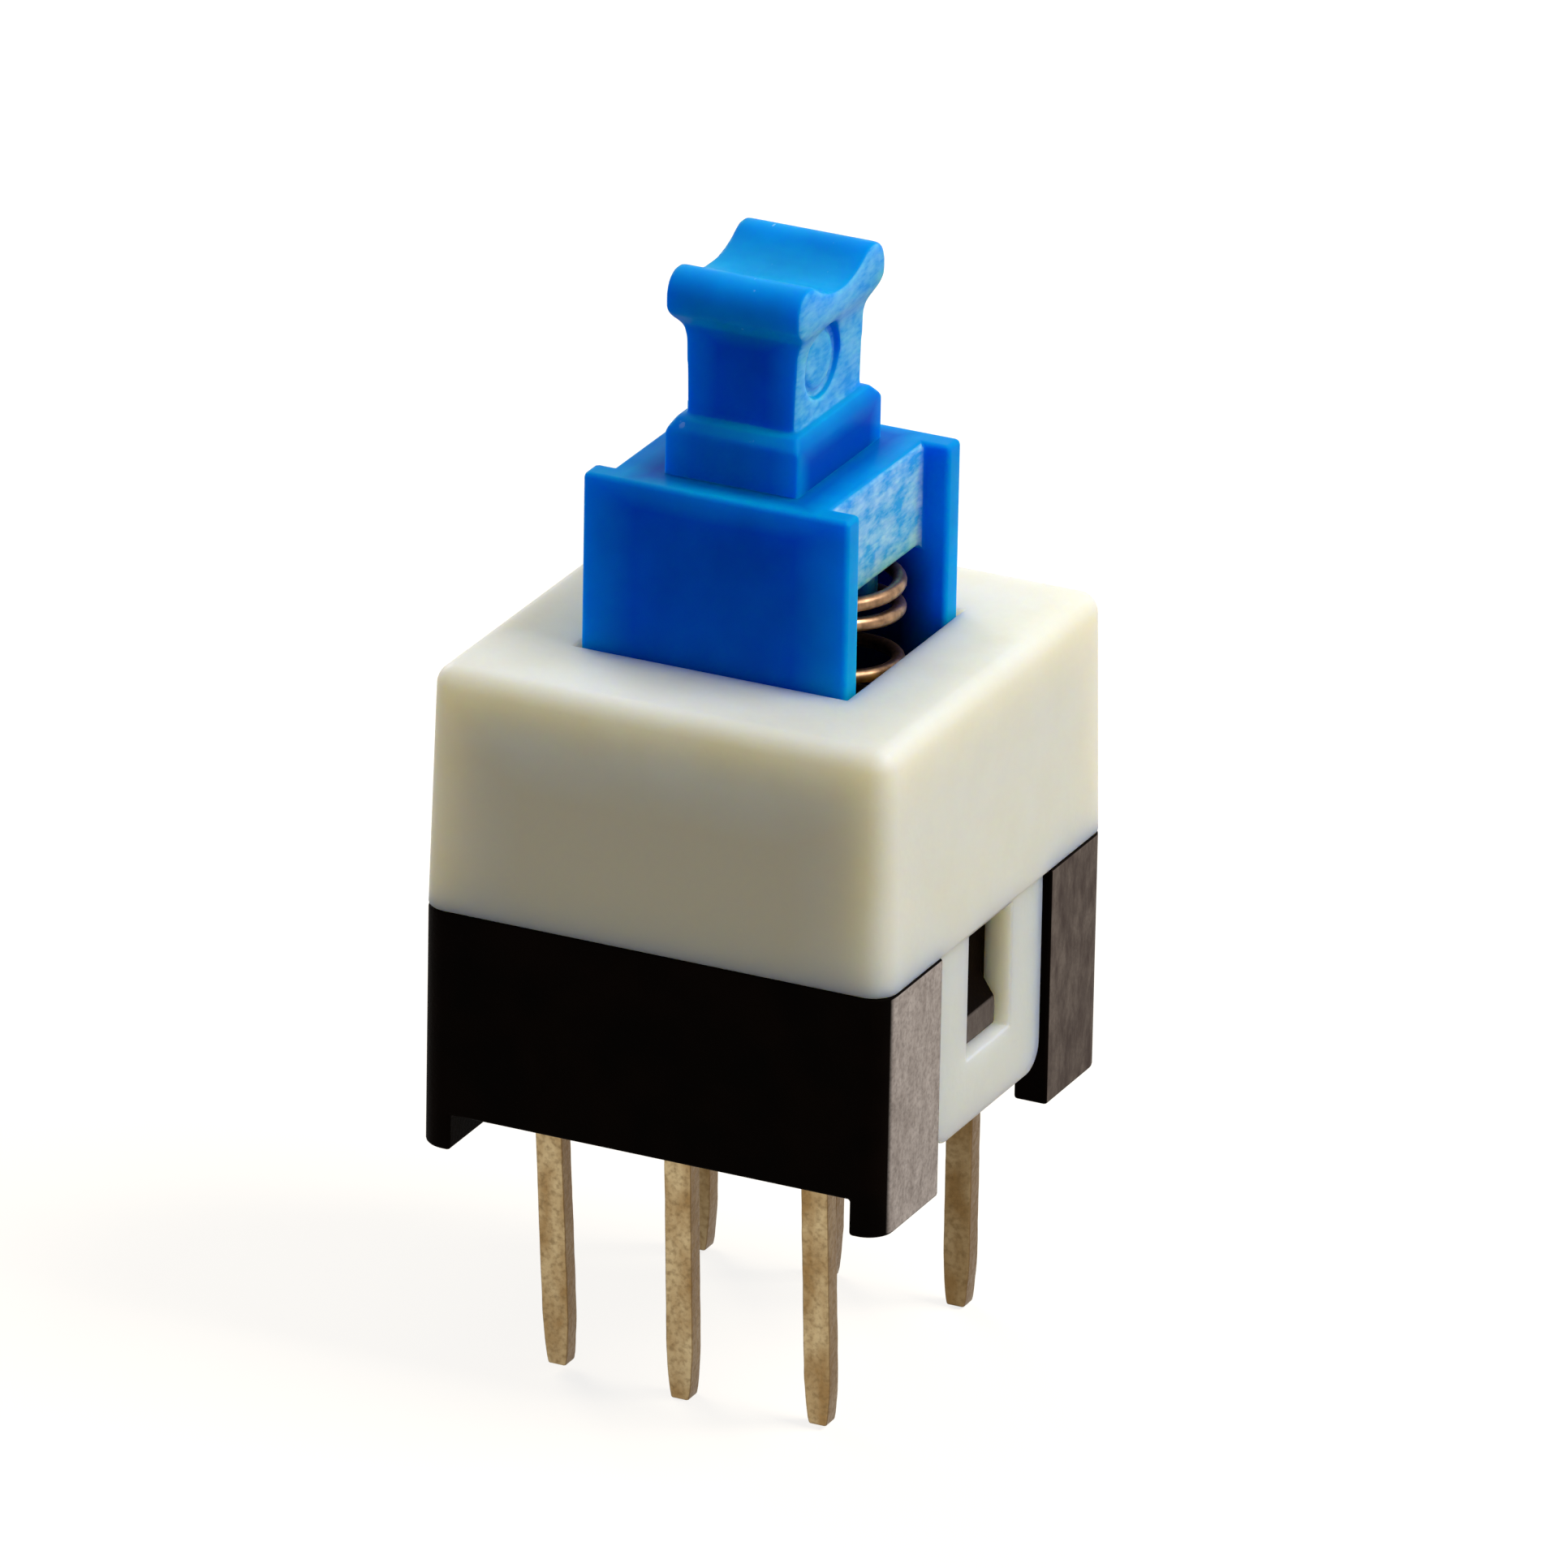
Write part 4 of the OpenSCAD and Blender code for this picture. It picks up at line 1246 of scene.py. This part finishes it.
# %% [markdown]
# ## Moving contacts
# The two strips of phosphor bronze inside are already right as CAD solids. They only get
# their metal, by assigning it to their material slots.

# %% Moving contacts
for name in ("moving_contact_front", "moving_contact_rear"):
    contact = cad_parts[name]
    contact.data.materials.clear()
    contact.data.materials.append(BRONZE)
    print(name, "is", BRONZE.name)

# %% [markdown]
# ## Floor, light and background
# The switch stands on its pins on a pale floor. A large soft lamp from the upper right lights
# the top and the right side about as brightly as their colours are written. A weaker one
# from the left and behind lights the far sides, and the front gets only what the sky and
# the floor send back. Camera, glossy and transmission rays see floor and sky as white, so
# that the background is white and the metal has it to reflect, while the light on the object
# stays plain. The floor keeps the shadow of the object.

# %% Background rays
def seen_directly(tree):
    """1 for the rays that should see a white background."""
    path = add(tree, "ShaderNodeLightPath").outputs
    first = either(tree, path["Is Camera Ray"], path["Is Glossy Ray"])
    return either(tree, first, path["Is Transmission Ray"])


# %% Sky
SKY_LEVEL = 0.32


def build_sky():
    world = bpy.data.worlds.new("studio")
    bpy.context.scene.world = world
    tree = empty_tree(world)
    strength = spread(tree, seen_directly(tree), 0.0, 1.0, SKY_LEVEL, 1.0)
    sky = add(tree, "ShaderNodeBackground", {"Color": linear("FFFFFF"), "Strength": strength})
    add(tree, "ShaderNodeOutputWorld", {"Surface": sky.outputs["Background"]})


build_sky()

# %% Floor
FLOOR_SIZE = 3.0
FLOOR_GREY = "968E80"
FLOOR_LIFT = 0.8


def build_floor():
    bm = bmesh.new()
    bmesh.ops.create_grid(bm, x_segments=1, y_segments=1, size=FLOOR_SIZE / 2)
    floor = to_object("floor", bm)
    floor.data.transform(Matrix.Translation((0, 0, cad_low.z)))
    material = bpy.data.materials.new("matt_white_board_painted")
    tree = empty_tree(material)
    matt = add(tree, "ShaderNodeBsdfDiffuse", {"Color": linear(FLOOR_GREY)})
    lift = both(tree, seen_directly(tree), FLOOR_LIFT)
    glow = add(tree, "ShaderNodeEmission", {"Color": linear("FFFFFF"), "Strength": lift})
    paint = add(tree, "ShaderNodeAddShader", {0: matt.outputs["BSDF"], 1: glow.outputs["Emission"]})
    add(tree, "ShaderNodeOutputMaterial", {"Surface": paint.outputs["Shader"]})
    floor.data.materials.append(material)


build_floor()

# %% Lamps
LAMP_DISTANCE = 0.4
LAMP_SIZE = 0.22
LAMP_COLOR = (1.0, 0.99, 0.975)
RIGHT_WAY = (0.66, 0.15, 0.74)
RIGHT_LEVEL = 0.93
LEFT_WAY = (-0.75, 0.45, 0.48)
LEFT_LEVEL = 0.48


def build_lamp(name, way, level):
    """A square softbox. Level 1 lights a white face that is square to it to full white."""
    way = Vector(way).normalized()
    data = bpy.data.lights.new(name, "AREA")
    data.size = LAMP_SIZE
    data.energy = level * math.pi ** 2 * LAMP_DISTANCE ** 2
    data.color = LAMP_COLOR
    lamp = bpy.data.objects.new(name, data)
    bpy.context.scene.collection.objects.link(lamp)
    lamp.location = way * LAMP_DISTANCE
    lamp.rotation_euler = way.to_track_quat("Z", "Y").to_euler()


build_lamp("softbox_right", RIGHT_WAY, RIGHT_LEVEL)
build_lamp("softbox_left", LEFT_WAY, LEFT_LEVEL)

# %% [markdown]
# ## Camera
# A long lens from a little above and to the right of the front, with no depth of field.

# %% Camera
CAMERA_AIM = Vector((0.36, -0.21, 4.85)) * MM
CAMERA_DISTANCE = 0.25
CAMERA_AZIMUTH = math.radians(25.4)
CAMERA_ELEVATION = math.radians(22.6)
CAMERA_ROLL = math.radians(1.1)
LENS = 424.0
NEAREST = 0.01


def build_camera():
    flat = math.cos(CAMERA_ELEVATION)
    ahead = Vector((-math.sin(CAMERA_AZIMUTH) * flat, math.cos(CAMERA_AZIMUTH) * flat,
                    -math.sin(CAMERA_ELEVATION)))
    right = ahead.cross(Vector((0, 0, 1))).normalized()
    up = right.cross(ahead)
    turned = right * math.cos(CAMERA_ROLL) + up * math.sin(CAMERA_ROLL)
    raised = up * math.cos(CAMERA_ROLL) - right * math.sin(CAMERA_ROLL)
    data = bpy.data.cameras.new("camera")
    data.lens = LENS
    data.clip_start = NEAREST
    camera = bpy.data.objects.new("camera", data)
    bpy.context.scene.collection.objects.link(camera)
    turn = Matrix((turned, raised, -ahead)).transposed().to_4x4()
    camera.matrix_world = Matrix.Translation(CAMERA_AIM - ahead * CAMERA_DISTANCE) @ turn
    bpy.context.scene.camera = camera


build_camera()
bpy.context.scene.view_settings.view_transform = "Standard"
